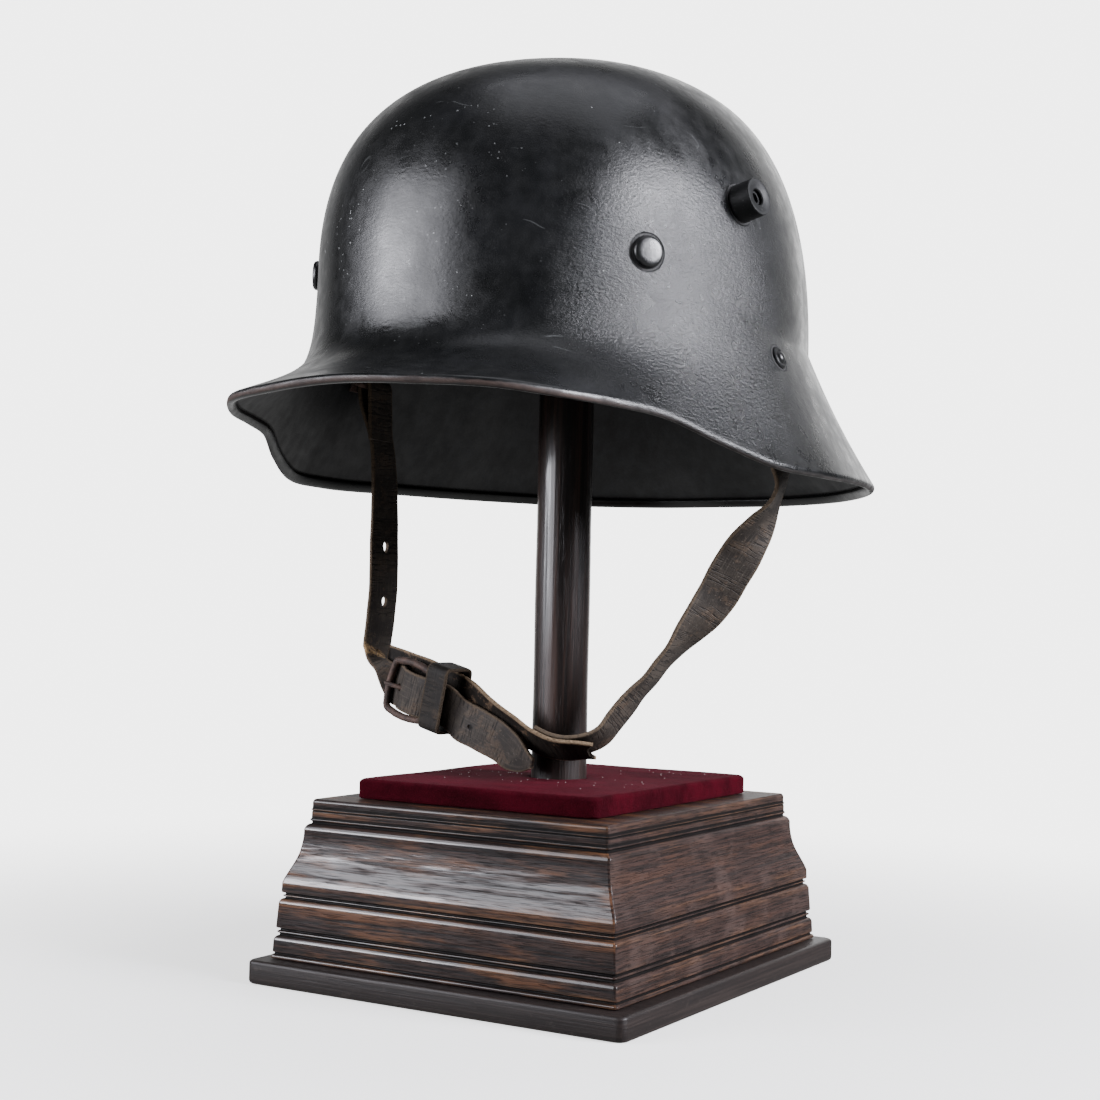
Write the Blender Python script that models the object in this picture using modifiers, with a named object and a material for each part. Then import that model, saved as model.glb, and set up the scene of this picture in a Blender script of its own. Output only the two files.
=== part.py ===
# Steel helmet on a wooden display stand, as an assembly of separate named pieces.
# Sizes are in millimetres and become metres where a mesh is made.
# +Z is up, the visor faces -Y and +X is the wearer's left.
# The origin is the middle of the plinth's underside.

import math
import bpy
import bmesh
import numpy as np
from mathutils import Matrix

MM = 0.001
GAP = 0.3                       # air left between two pieces that touch

# Helmet: the dome above its widest line, and the skirt below it
CROWN_HEIGHT = 379.4            # top of the helmet above the table
CROWN_BACK = 27.8               # the top of the dome lies this far behind the post
DOME_FRONT = 118.0              # reach of the widest line forward, sideways and back
DOME_SIDE = 98.0
DOME_REAR = 119.2
DOME_UPRIGHT = 2.4              # fullness of the dome's upright section
DOME_PLAN = 2.87                # fullness of its rise from the crown outwards
WAIST_HEIGHT = (285.0, 262.0, 257.0)    # widest line at the front, side and rear
SKIRT_START = (89.0, 68.0, 61.0)        # slope just under the widest line, degrees
SKIRT_END = (18.0, 61.0, 41.0)          # slope at the edge: visor, ear and neck guard
SKIRT_TIGHT = (0.97, 0.70, 0.70)        # how sharply one slope turns into the other
FRONT_ANGLE = 35.0              # the visor's section holds up to this angle
SIDE_ANGLE = 95.0               # the ear's section holds here
STEEL = 1.2                     # sheet thickness
ROLL_RADIUS = 1.8               # the edge is rolled inwards round this radius
HEM_WIDTH = 5.0
HEM_DEPTH = 2.6
STATIONS = 52                   # sections round the helmet
DOME_RINGS = 12
SKIRT_RINGS = 6

# Edge of the helmet: angle from the front, half width, distance back, height
EDGE = (
    (0, 0.0, -159.0, 230.1),
    (18, 29.8, -157.0, 228.8),
    (36, 61.9, -144.1, 226.9),
    (45, 74.8, -128.1, 225.0),
    (54, 84.1, -107.8, 223.5),
    (63, 93.0, -86.8, 220.8),
    (72, 104.9, -65.8, 212.8),
    (81, 115.9, -41.5, 205.9),
    (90, 120.9, -14.5, 204.7),
    (108, 118.0, 40.9, 205.2),
    (126, 101.8, 92.1, 205.4),
    (144, 73.2, 130.7, 205.2),
    (162, 37.0, 151.6, 205.2),
    (180, 0.0, 153.6, 205.2),
)

# Fittings on the shell: angle from the front, height
RIVET_FRONT_LEFT = (51.5, 284.0)
RIVET_FRONT_RIGHT = (51.5, 287.5)
RIVET_REAR = (180.0, 284.0)
VENT = (76.0, 310.0)
STRAP_LUG = (87.0, 252.0)

BACK_GAP = 0.9                  # air behind the shell, whose flats lie inside the curve
RIVET_HEAD_RADIUS = 6.1
RIVET_HEAD_RISE = 2.6
RIVET_SHANK_RADIUS = 2.0
VENT_COLLAR_RADIUS = 7.3
VENT_COLLAR_RISE = 3.4
VENT_BARREL_RADIUS = 6.5
VENT_RISE = 11.0
VENT_BORE_RADIUS = 2.3
VENT_SHANK_RADIUS = 4.4
LUG_DOME_RADIUS = 4.5
LUG_DOME_RISE = 2.3
LUG_SHANK_RADIUS = 1.8
LUG_PLATE_THICK = 1.2
LUG_BAR_RADIUS = 1.3
LUG_BAR_LENGTH = 24.6

# Chin strap
STRAP_WIDTH = 18.0
STRAP_THICK = 1.8
TAB_LENGTH = 24.0               # the end folded up behind each lug's bar
STRIP_BITE_RADIUS = 15.0        # the guard strip's ends are hollowed
STRIP_BITE_DEPTH = 3.5

# Holes in the wearer's-right strap: distance along it, rise, length, width
HOLES = (
    (104.4, -0.3, 5.2, 4.4),
    (128.4, -0.6, 5.2, 4.4),
    (153.5, 0.0, 4.4, 2.4),
    (230.5, 0.5, 3.4, 2.2),
)
PRONG_HOLE = (8.4, 3.2)
PRONG_HOLE_AT = -3.8            # from the buckle's middle

# Strip behind the buckle, from its left end to its right end.
# Columns: x, y, z, turn of the width line from lying front to back
GUARD = (
    (-87.0, -6.5, 126.0, 87),
    (-71.0, -9.0, 122.5, 88),
    (-58.5, -11.0, 119.4, 90),
    (-46.5, -13.0, 116.0, 93),
    (-34.5, -15.0, 112.0, 108),
    (-22.5, -17.0, 107.0, 127),
    (-7.5, -20.1, 101.0, 135),
    (4.0, -22.3, 96.5, 141),
    (15.0, -22.7, 94.7, 150),
    (22.5, -20.5, 94.9, 155),
    (28.0, -18.0, 94.6, 157),
)

# Wearer's-left strap on its way down to the strip, same columns
LEFT_STRAP = (
    (98.0, 1.5, 215.0, 4),
    (97.7, 4.8, 205.0, -13),
    (93.5, 6.3, 196.0, -10),
    (88.9, 4.9, 187.5, 15),
    (84.7, 3.7, 181.0, 33),
    (80.1, 3.7, 174.0, 47),
    (75.5, 3.4, 166.5, 47),
    (71.2, 3.5, 159.5, 43),
    (66.5, 2.1, 152.0, 34),
    (60.8, 0.5, 144.5, 19),
    (54.5, -0.1, 137.0, 2),
    (48.8, -1.6, 130.5, -3),
    (43.9, -3.2, 123.6, -3),
    (40.0, -5.2, 119.0, -1),
    (36.7, -7.5, 114.0, 2),
    (32.4, -10.9, 107.0, 2),
    (29.0, -14.5, 101.0, 0),
)

# Wearer's-right strap from the helmet down to its crease, same columns
RIGHT_STRAP = (
    (-94.2, -3.9, 226.0, -4),
    (-93.6, -2.2, 213.0, -1),
    (-93.5, -1.4, 198.0, 2),
    (-93.4, -1.0, 176.0, 6),
    (-93.4, -1.0, 160.0, 6),
    (-94.6, -1.1, 144.0, 6),
    (-95.4, -1.8, 134.0, 5),
)

# It then creases and twists forward to the buckle.
# Columns: x, y, z of its front edge, then x, y, z of its rear edge
TWIST_STRAP = (
    (-95.0, -11.5, 132.6, -91.2, 0.5, 127.2),
    (-87.2, -13.9, 123.1, -82.1, -9.9, 127.8),
)

# It goes behind the buckle's near bar and over its far bar.
# Columns: distance from the buckle's middle, rise outwards
THROUGH_BUCKLE = (
    (-11.4, -2.9),
    (-6.5, -1.2),
    (-1.5, 2.6),
    (4.0, 4.5),
    (11.4, 5.0),
)

# It then runs through the keeper.
# Columns: distance from the keeper's middle, rise above and lift off the strip
THROUGH_KEEPER = (
    (-3.0, -5.0, 8.2),
    (5.0, -5.0, 6.9),
)

# Its end hangs free down to the velvet.
# Columns: x, y, z, turn, half width below and above the middle line
FREE_STRAP = (
    (-38.0, -19.0, 104.5, 90, 9.0, 9.0),
    (-26.7, -20.8, 100.5, 93, 9.0, 9.0),
    (-15.6, -22.6, 96.1, 98, 9.0, 8.5),
    (-7.5, -23.8, 91.3, 102, 8.6, 7.5),
    (-2.0, -24.6, 88.6, 106, 6.4, 4.5),
    (2.2, -25.2, 86.8, 110, 4.4, 0.6),
)

# Buckle, its chape and the keeper, placed by distances along the guard strip
BUCKLE_AT = 22.4
BUCKLE_DROP = -6.2              # the buckle's middle lies lower than the strip's
BUCKLE_OUT = 5.3
BUCKLE_LENGTH = 26.0
BUCKLE_HEIGHT = 25.4
BUCKLE_WIRE = 1.6
BAR_REACH = BUCKLE_LENGTH / 2 - BUCKLE_WIRE     # from its middle to the middle of a bar
PRONG_RADIUS = 1.0
PRONG_EYE_RADIUS = 0.7

# Prong from its eye to its tip: distance from the buckle's middle, rise outwards
PRONG_SHAFT = (
    (7.2, 0.7),
    (2.0, 0.1),
    (-3.0, 0.9),
    (-7.5, 2.7),
    (-12.0, 3.1),
)

CHAPE_THICK = 1.0
CHAPE_WIDTH = 14.0
CHAPE_LENGTH = 13.0
KEEPER_AT = 43.0
KEEPER_WIDTH = 12.0
KEEPER_THICK = 1.6
KEEPER_TOP = 10.8
KEEPER_BOTTOM = -16.6
KEEPER_FRONT = 11.8
KEEPER_SKEW = 4.0               # degrees it sits askew on the strap

POST_RADIUS = 11.7
CAP_RADIUS = 30.0
CAP_DEPTH = 16.0
CAP_DROP = 5.0

# Plinth
PLAN_EXTRA = 10.8               # the plinth is deeper than it is wide by this on each side
SLAB_HALF = 86.0
SLAB_HEIGHT = 9.5
PLINTH_TOP = 73.2
PAD_HALF = 55.9
PAD_HEIGHT = 8.1

# Moulding of the plinth body: height above the table, half width
MOULDING = (
    (9.8, 78.6),
    (10.6, 79.2),
    (20.4, 78.4),
    (21.2, 77.6),
    (22.3, 77.4),
    (23.2, 78.0),
    (36.2, 77.2),
    (37.0, 76.4),
    (38.2, 76.1),
    (39.3, 76.6),
    (41.0, 76.6),
    (46.0, 75.6),
    (52.0, 73.8),
    (57.0, 72.0),
    (60.0, 70.9),
    (61.5, 70.9),
    (62.3, 70.1),
    (63.5, 70.1),
    (64.3, 68.9),
    (71.8, 68.9),
    (PLINTH_TOP, 68.3),
)


def clear_scene():
    for old in list(bpy.data.objects):
        bpy.data.objects.remove(old)


def new_collection(name):
    group = bpy.data.collections.new(name)
    bpy.context.scene.collection.children.link(group)
    return group


def make_material(name, colour, roughness, metallic=0.0):
    material = bpy.data.materials.new(name)
    material.use_nodes = True
    shader = material.node_tree.nodes["Principled BSDF"]
    shader.inputs["Base Color"].default_value = (*colour, 1.0)
    shader.inputs["Roughness"].default_value = roughness
    shader.inputs["Metallic"].default_value = metallic
    return material


def mesh_object(name, points, faces, material, group, smooth=True):
    mesh = bpy.data.meshes.new(name)
    mesh.from_pydata([tuple(float(c) * MM for c in p) for p in points], [], faces)
    mesh.materials.append(material)
    if smooth:
        mesh.shade_smooth()
        mesh.set_sharp_from_angle(angle=math.radians(40))
    thing = bpy.data.objects.new(name, mesh)
    group.objects.link(thing)
    return thing


def as_mesh(thing):
    """Replace an object by a plain mesh of what its modifiers make."""
    bpy.context.view_layer.update()
    depsgraph = bpy.context.evaluated_depsgraph_get()
    mesh = bpy.data.meshes.new_from_object(thing.evaluated_get(depsgraph))
    welder = bmesh.new()
    welder.from_mesh(mesh)
    bmesh.ops.remove_doubles(welder, verts=welder.verts, dist=1e-6)
    welder.to_mesh(mesh)
    welder.free()
    name, place, group = thing.name, thing.matrix_world.copy(), thing.users_collection[0]
    bpy.data.objects.remove(thing)
    solid = bpy.data.objects.new(name, mesh)
    group.objects.link(solid)
    solid.matrix_world = place
    return solid


def cut(thing, cutter, cutters, operation="DIFFERENCE"):
    if cutter.name not in cutters.objects:
        for group in list(cutter.users_collection):
            group.objects.unlink(cutter)
        cutters.objects.link(cutter)
    cutter.hide_render = True
    cutter.display_type = "WIRE"
    modifier = thing.modifiers.new(cutter.name, "BOOLEAN")
    modifier.operation = operation
    modifier.solver = "EXACT"
    modifier.object = cutter


def turned(name, profile, place, material, group, steps=20, closed=False):
    """Turn a profile of (radius, height) rows, given top to bottom, about local Z."""
    mesh = bpy.data.meshes.new(name)
    count = len(profile)
    edges = [(i, i + 1) for i in range(count - 1)]
    if closed:
        edges.append((count - 1, 0))
    mesh.from_pydata([(r * MM, 0.0, h * MM) for r, h in profile], edges, [])
    mesh.materials.append(material)
    thing = bpy.data.objects.new(name, mesh)
    group.objects.link(thing)
    thing.matrix_world = place
    screw = thing.modifiers.new("turn", "SCREW")
    screw.steps = steps
    screw.render_steps = steps
    screw.use_merge_vertices = True
    screw.merge_threshold = 0.000001
    screw.use_smooth_shade = True
    return thing


def rod(name, points, radius, material, group, closed=False, radii=None, sides=3):
    curve = bpy.data.curves.new(name, "CURVE")
    curve.dimensions = "3D"
    curve.bevel_depth = radius * MM
    curve.bevel_resolution = sides
    curve.use_fill_caps = True
    spline = curve.splines.new("POLY")
    spline.points.add(len(points) - 1)
    for i, point in enumerate(points):
        spline.points[i].co = (*(float(c) * MM for c in point), 1.0)
        spline.points[i].radius = radii[i] if radii else 1.0
    spline.use_cyclic_u = closed
    spline.use_smooth = True
    curve.materials.append(material)
    thing = bpy.data.objects.new(name, curve)
    group.objects.link(thing)
    return thing


def along(rows, column, angle, odd=False):
    """Smooth curve through one column of an edge table, mirrored at 0 and 180 degrees."""
    sign = -1.0 if odd else 1.0
    at = [row[0] for row in rows]
    value = [row[column] for row in rows]
    at = np.array([-at[1], *at, 360.0 - at[-2]], float)
    value = np.array([sign * value[1], *value, sign * value[-2]], float)
    step = np.diff(at)
    slope = np.diff(value) / step
    tangent = (slope[:-1] * step[1:] + slope[1:] * step[:-1]) / (step[:-1] + step[1:])
    i = int(np.clip(np.searchsorted(at[1:-1], angle, side="right") - 1, 0, len(at) - 4))
    h = step[i + 1]
    u = (angle - at[i + 1]) / h
    return ((2 * u**3 - 3 * u**2 + 1) * value[i + 1] + (u**3 - 2 * u**2 + u) * h * tangent[i]
            + (3 * u**2 - 2 * u**3) * value[i + 2] + (u**3 - u**2) * h * tangent[i + 1])


def ease(low, high, x):
    u = min(max((x - low) / (high - low), 0.0), 1.0)
    return u * u * (3 - 2 * u)


def round_the_head(values, angle):
    """Blend a size given for the front, the side and the rear."""
    front, side, rear = values
    return (front + (side - front) * ease(FRONT_ANGLE, SIDE_ANGLE, angle)
            + (rear - side) * ease(SIDE_ANGLE, 180.0, angle))


def dome_line(angle, side, count):
    """Points from the crown down to the widest line."""
    turn = math.radians(angle)
    reach = DOME_FRONT if angle < 90 else DOME_REAR
    waist = np.array([side * DOME_SIDE * math.sin(turn), -reach * math.cos(turn), 0.0])
    low = round_the_head(WAIST_HEIGHT, angle)
    points = []
    for i in range(count):
        u = 0.5 * math.pi * i / (count - 1)
        out = math.sin(u) ** (2 / DOME_PLAN)
        up = max(math.cos(u), 0.0) ** (2 / DOME_UPRIGHT)
        middle = np.array([0.0, CROWN_BACK * (1 - out), low + (CROWN_HEIGHT - low) * up])
        points.append(middle + waist * out)
    return points


def skirt_line(waist, angle, side, count):
    """Points below the widest line down to the edge, with the edge's own two directions."""
    edge = np.array([side * along(EDGE, 1, angle, odd=True), along(EDGE, 2, angle),
                     along(EDGE, 3, angle)])
    outwards = edge[:2] - waist[:2]
    outwards = np.array([*(outwards / np.linalg.norm(outwards)), 0.0])
    start, end = (math.radians(round_the_head(s, angle)) for s in (SKIRT_START, SKIRT_END))
    down = outwards * math.cos(end) - np.array([0, 0, math.sin(end)])
    face = outwards * math.sin(end) + np.array([0, 0, math.cos(end)])
    edge = edge + face * ROLL_RADIUS
    reach = float(np.dot(edge - waist, outwards))
    drop = waist[2] - edge[2]
    knee_out = (drop - reach * math.tan(end)) / (math.tan(start) - math.tan(end))
    knee_out = min(max(knee_out, 0.0), 0.9 * reach)
    knee_down = max(drop - (reach - knee_out) * math.tan(end), 0.0)
    knee = waist + outwards * knee_out - np.array([0, 0, knee_down])
    tight = round_the_head(SKIRT_TIGHT, angle)
    first = waist + (knee - waist) * tight
    second = edge + (knee - edge) * tight
    fine = [(1 - u)**3 * waist + 3 * (1 - u)**2 * u * first + 3 * (1 - u) * u * u * second
            + u**3 * edge for u in np.linspace(0, 1, 41)]
    run = np.concatenate([[0], np.cumsum(np.linalg.norm(np.diff(fine, axis=0), axis=1))])
    stops = np.linspace(0, run[-1] - HEM_WIDTH - 2.0, count)[1:]
    line = [np.array([np.interp(s, run, [p[k] for p in fine]) for k in range(3)]) for s in stops]
    return line, edge, down, face


def outer_grid(stations, dome_rings, skirt_rings):
    """Rings of the outer face from crown to hem, and each section's edge frame."""
    rings, frames = [], []
    for s in range(stations):
        turn = 360.0 * s / stations
        side = 1.0 if turn <= 180 else -1.0
        angle = turn if turn <= 180 else 360 - turn
        dome = dome_line(angle, side, dome_rings)
        skirt, edge, down, face = skirt_line(dome[-1], angle, side, skirt_rings)
        rings.append(dome + skirt)
        frames.append((edge, down, face))
    return np.array(rings).transpose(1, 0, 2), frames


def grid_normals(grid):
    """Outward normals of a closed grid of rings."""
    round_about = np.roll(grid, -1, axis=1) - np.roll(grid, 1, axis=1)
    downwards = np.gradient(grid, axis=0)
    normal = np.cross(downwards, round_about)
    size = np.linalg.norm(normal, axis=2, keepdims=True)
    normal = normal / np.where(size > 1e-9, size, 1.0)
    normal[0] = (0.0, 0.0, 1.0)
    return normal


def shell_rings():
    """Closed section of the helmet: outer face, rolled edge, hem, inner face."""
    outer, frames = outer_grid(STATIONS, DOME_RINGS, SKIRT_RINGS)
    inner = outer - grid_normals(outer) * STEEL
    rings = list(outer)
    rings.append(np.array([e - d * (ROLL_RADIUS + 0.4) for e, d, _ in frames]))
    for degrees in (90, 45, 0, -45, -90):
        a = math.radians(degrees)
        rings.append(np.array([
            e - d * ROLL_RADIUS - f * ROLL_RADIUS
            + d * ROLL_RADIUS * math.cos(a) + f * ROLL_RADIUS * math.sin(a)
            for e, d, f in frames]))
    for back, depth in ((HEM_WIDTH, HEM_DEPTH), (HEM_WIDTH + 0.4, STEEL)):
        rings.append(np.array([e - d * back - f * depth for e, d, f in frames]))
    rings.extend(inner[::-1])
    return rings


def make_shell(material, group):
    rings = shell_rings()
    top, bottom, loops = rings[0][0], rings[-1][0], rings[1:-1]
    points = [top] + [p for ring in loops for p in ring] + [bottom]
    n = STATIONS
    faces = [(0, 1 + (s + 1) % n, 1 + s) for s in range(n)]
    for r in range(len(loops) - 1):
        a, b = 1 + r * n, 1 + (r + 1) * n
        faces += [(a + s, a + (s + 1) % n, b + (s + 1) % n, b + s) for s in range(n)]
    last, end = 1 + (len(loops) - 1) * n, len(points) - 1
    faces += [(last + s, last + (s + 1) % n, end) for s in range(n)]
    shell = mesh_object("shell", points, faces, material, group)
    fixer = bmesh.new()
    fixer.from_mesh(shell.data)
    bmesh.ops.recalc_face_normals(fixer, faces=fixer.faces)
    fixer.to_mesh(shell.data)
    fixer.free()
    return shell


def seat(place, side):
    """Frame of a fitting on the outer face: Z outwards, X level, Y upwards."""
    angle, height = place
    step = 0.5
    lines = []
    for turn in (angle - step, angle, angle + step):
        flip = side if turn <= 180 else -side
        turn = turn if turn <= 180 else 360 - turn
        dome = dome_line(turn, flip, 60)
        skirt = skirt_line(dome[-1], turn, flip, 30)[0]
        line = np.array(dome + skirt)[::-1]
        lines.append([[np.interp(z, line[:, 2], line[:, k]) for k in range(3)]
                      for z in (height - step, height, height + step)])
    (before, after) = (np.array(lines[0][1]), np.array(lines[2][1]))
    (below, middle, above) = (np.array(p) for p in lines[1])
    z = np.cross(after - before, above - below) * side
    z = z / np.linalg.norm(z)
    x = np.cross((0.0, 0.0, 1.0), z)
    x = x / np.linalg.norm(x)
    y = np.cross(z, x)
    return middle, x, y, z


def placed(frame):
    middle, x, y, z = frame
    rows = [[x[k], y[k], z[k], middle[k] * MM] for k in range(3)]
    return Matrix(rows + [[0, 0, 0, 1]])


def drill(name, frame, radius, low, high, cutters, material):
    """Round cutter along a fitting's own axis."""
    profile = [(0, high), (radius, high), (radius, low), (0, low)]
    return turned(name, profile, placed(frame), material, cutters, steps=16)


def make_rivet(name, place, side, shell, material, group, cutters):
    frame = seat(place, side)
    head, rise, shank = RIVET_HEAD_RADIUS, RIVET_HEAD_RISE, RIVET_SHANK_RADIUS
    tail = -STEEL - BACK_GAP
    profile = [
        (0, rise), (head - 1.3, rise), (head - 0.4, rise - 0.4), (head, rise - 1.2),
        (head, GAP), (shank, GAP), (shank, tail), (3.6, tail),
        (3.2, tail - 1.0), (0, tail - 1.3)]
    turned(name, profile, placed(frame), material, group)
    cut(shell, drill(name + "_hole", frame, shank + GAP, -6, 6, cutters, material), cutters)


def make_vent(name, side, shell, material, group, cutters):
    frame = seat(VENT, side)
    collar, barrel, bore, shank = (
        VENT_COLLAR_RADIUS, VENT_BARREL_RADIUS, VENT_BORE_RADIUS, VENT_SHANK_RADIUS)
    tail = -STEEL - BACK_GAP
    profile = [
        (barrel - 0.5, VENT_RISE), (barrel, VENT_RISE - 0.6), (barrel, VENT_COLLAR_RISE + 0.9),
        (collar - 0.8, VENT_COLLAR_RISE + 0.6), (collar, VENT_COLLAR_RISE - 0.3),
        (collar, GAP + 0.2), (shank, GAP + 0.2), (shank, tail), (shank + 1.6, tail),
        (shank + 1.2, tail - 0.9), (bore, tail - 1.2), (bore, VENT_RISE - 1.6),
        (3.9, VENT_RISE - 1.6), (4.4, VENT_RISE)]
    turned(name, profile, placed(frame), material, group, steps=16, closed=True)
    cut(shell, drill(name + "_hole", frame, shank + GAP, -7, 7, cutters, material), cutters)


def make_strap_lug(name, side, shell, material, group, cutters):
    """Domed rivet outside, and inside it a plate and a bar that the strap hangs over."""
    frame = seat(STRAP_LUG, side)
    middle, x, y, z = frame
    dome, rise, shank = LUG_DOME_RADIUS, LUG_DOME_RISE, LUG_SHANK_RADIUS
    plate_top, plate_bottom = -STEEL - BACK_GAP, -STEEL - BACK_GAP - LUG_PLATE_THICK
    profile = [
        (0, rise), (1.6, rise - 0.15), (2.6, rise - 0.7), (2.9, rise - 1.2), (3.5, rise - 1.1),
        (4.2, rise - 1.4), (dome, GAP + 0.1), (shank, GAP + 0.1), (shank, plate_bottom + 0.3),
        (0, plate_bottom + 0.3)]
    rivet = turned(name, profile, placed(frame), material, group)
    rivet = as_mesh(rivet)
    half = LUG_BAR_LENGTH / 2
    bpy.ops.mesh.primitive_cube_add(size=1)
    plate = bpy.context.object
    plate.name = name + "_plate"
    plate.data.transform(Matrix.Diagonal((2 * half * MM, 9 * MM, LUG_PLATE_THICK * MM, 1)))
    plate.matrix_world = placed((middle + z * (plate_top + plate_bottom) / 2, x, y, z))
    cut(rivet, plate, cutters, "UNION")
    deep = bar_depth()
    foot, reach = plate_bottom + 0.5, half - LUG_BAR_RADIUS
    corners = [(-reach, foot), (-reach, deep + 0.8), (-reach + 0.8, deep),
               (reach - 0.8, deep), (reach, deep + 0.8), (reach, foot)]
    line = [middle + x * a + z * b for a, b in corners]
    bar = as_mesh(rod(name + "_bar", line, LUG_BAR_RADIUS, material, cutters, sides=2))
    cut(rivet, bar, cutters, "UNION")
    cut(shell, drill(name + "_hole", frame, shank + GAP, -6, 6, cutters, material), cutters)


def bar_depth():
    """Middle of the lug's bar, measured from the outer face."""
    plate_bottom = -STEEL - BACK_GAP - LUG_PLATE_THICK
    return plate_bottom - GAP - STRAP_THICK - GAP - LUG_BAR_RADIUS


def spline(rows, per):
    """Smooth curve through rows that start with x, y, z, all columns at once."""
    rows = np.array(rows, float)
    step = np.linalg.norm(np.diff(rows[:, :3], axis=0), axis=1)[:, None]
    slope = np.diff(rows, axis=0) / step
    inner = (slope[:-1] * step[1:] + slope[1:] * step[:-1]) / (step[:-1] + step[1:])
    tangent = np.concatenate([slope[:1], inner, slope[-1:]])
    out = []
    for i in range(len(rows) - 1):
        for u in np.arange(per) / per:
            out.append((2 * u**3 - 3 * u**2 + 1) * rows[i]
                       + (u**3 - 2 * u**2 + u) * step[i] * tangent[i]
                       + (3 * u**2 - 2 * u**3) * rows[i + 1]
                       + (u**3 - u**2) * step[i] * tangent[i + 1])
    out.append(rows[-1])
    return np.array(out)


def unit(vectors):
    return vectors / np.linalg.norm(vectors, axis=-1, keepdims=True)


def stations(rows):
    """Centres and width directions of a table with columns x, y, z, turn."""
    rows = np.array(rows, float)
    centre = rows[:, :3]
    forward = unit(np.gradient(centre, axis=0))
    back = np.array([0.0, 1.0, 0.0])
    level = unit(back - forward * (forward @ back)[:, None])
    side = np.cross(forward, level)
    turn = np.radians(rows[:, 3])[:, None]
    return centre, level * np.cos(turn) + side * np.sin(turn)


class Band:
    """A strap's middle line with its width direction and outward face."""

    def __init__(self, centre, width, per=4, low=None, high=None):
        count = len(centre)
        width = np.array(width, float)
        for i in range(1, count):
            if np.dot(width[i], width[i - 1]) < 0:
                width[i] = -width[i]
        half = STRAP_WIDTH / 2
        low = np.full(count, half) if low is None else np.array(low, float)
        high = np.full(count, half) if high is None else np.array(high, float)
        table = np.column_stack([centre, width, low, high])
        table = spline(table, per) if per > 1 else table
        self.centre = table[:, :3]
        self.forward = unit(np.gradient(self.centre, axis=0))
        self.width = unit(table[:, 3:6])
        self.face = unit(np.cross(self.forward, self.width))
        self.low, self.high = table[:, 6], table[:, 7]
        step = np.linalg.norm(np.diff(self.centre, axis=0), axis=1)
        self.run = np.concatenate([[0], np.cumsum(step)])

    def at(self, distance):
        """Centre, forward, width and face at a distance along the strap."""
        parts = []
        for values in (self.centre, self.forward, self.width, self.face):
            parts.append(np.array([np.interp(distance, self.run, values[:, k]) for k in range(3)]))
        return [parts[0]] + [unit(p) for p in parts[1:]]

    def near(self, point):
        """Distance along the strap of its station nearest to a point."""
        return self.run[np.argmin(np.linalg.norm(self.centre - point, axis=1))]

    def spot(self, distance, rise=0.0, out=0.0):
        centre, _, width, face = self.at(distance)
        return centre + width * rise + face * out


def make_band(name, band, thick, material, group, closed=False):
    """Open surface from edge to edge, thickened both ways."""
    points = []
    for centre, width, low, high in zip(band.centre, band.width, band.low, band.high):
        points += [centre - width * low, centre + width * high]
    n = len(points)
    faces = [(a, (a + 2) % n, (a + 3) % n, a + 1) for a in range(0, n if closed else n - 2, 2)]
    strap = mesh_object(name, points, faces, material, group)
    wall = strap.modifiers.new("thickness", "SOLIDIFY")
    wall.thickness = thick * MM
    wall.offset = 0.0
    return strap


def punch(name, strap, band, distance, rise, length, across, cutters, material):
    """Oval hole through a strap."""
    centre, forward, width, face = band.at(distance)
    middle = centre + width * rise
    points = []
    for side in (-1, 1):
        for k in range(10):
            a = 2 * math.pi * k / 10
            points.append(middle + forward * 0.5 * length * math.cos(a)
                          + width * 0.5 * across * math.sin(a) + face * side * 3.0)
    faces = [tuple(range(9, -1, -1)), tuple(range(10, 20))]
    faces += [(k, (k + 1) % 10, 10 + (k + 1) % 10, 10 + k) for k in range(10)]
    hole = mesh_object(name, points, faces, material, cutters, smooth=False)
    cut(strap, hole, cutters)


def hollow_end(name, strap, band, distance, sign, cutters, material):
    """Round bite out of a strap's end, centred beyond the end on the middle line."""
    centre, forward, width, face = band.at(distance)
    radius = STRIP_BITE_RADIUS
    frame = (centre + forward * sign * (radius - STRIP_BITE_DEPTH), forward, width, face)
    profile = [(0, 5), (radius, 5), (radius, -5), (0, -5)]
    cut(strap, turned(name, profile, placed(frame), material, cutters, steps=32), cutters)


def hung_over_bar(side, below):
    """Stations of a strap's end: up its tab, over the lug's bar and down towards a point."""
    middle, x, _, z = seat(STRAP_LUG, side)
    bar = middle + z * bar_depth()
    down = unit(np.array(below) - bar)
    down = unit(down - x * (down @ x))
    out = unit(z - down * (z @ down))
    reach = LUG_BAR_RADIUS + GAP + STRAP_THICK / 2
    centre = [bar - out * reach + down * TAB_LENGTH * share for share in (1.0, 0.5, 0.2)]
    for degrees in range(-90, 91, 30):
        a = math.radians(degrees)
        centre.append(bar + out * reach * math.sin(a) - down * reach * math.cos(a))
    centre.append(bar + out * reach + down * 5.0)
    return np.array(centre), np.array([x] * len(centre))


def make_guard(leather, group, cutters):
    band = Band(*stations(GUARD), per=4)
    guard = make_band("strap_guard", band, STRAP_THICK, leather, group)
    hollow_end("strip_end_right", guard, band, 0.0, -1.0, cutters, leather)
    hollow_end("strip_end_left", guard, band, band.run[-1], 1.0, cutters, leather)
    return band


def make_left_strap(guard, leather, group):
    """From the left lug down in a half twist, ending on the back of the guard strip."""
    top_centre, top_width = hung_over_bar(1.0, LEFT_STRAP[0][:3])
    centre, width = stations(LEFT_STRAP)
    end_centre, end_width = [], []
    for from_end in (12.0, 17.0, 22.0, 27.0):
        distance = guard.run[-1] - from_end
        end_centre.append(guard.spot(distance, rise=-1.0, out=-(STRAP_THICK + 2 * GAP)))
        end_width.append(guard.at(distance)[2])
    band = Band(np.concatenate([top_centre, centre, end_centre]),
                np.concatenate([top_width, width, end_width]), per=3)
    make_band("strap_left", band, STRAP_THICK, leather, group)


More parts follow.
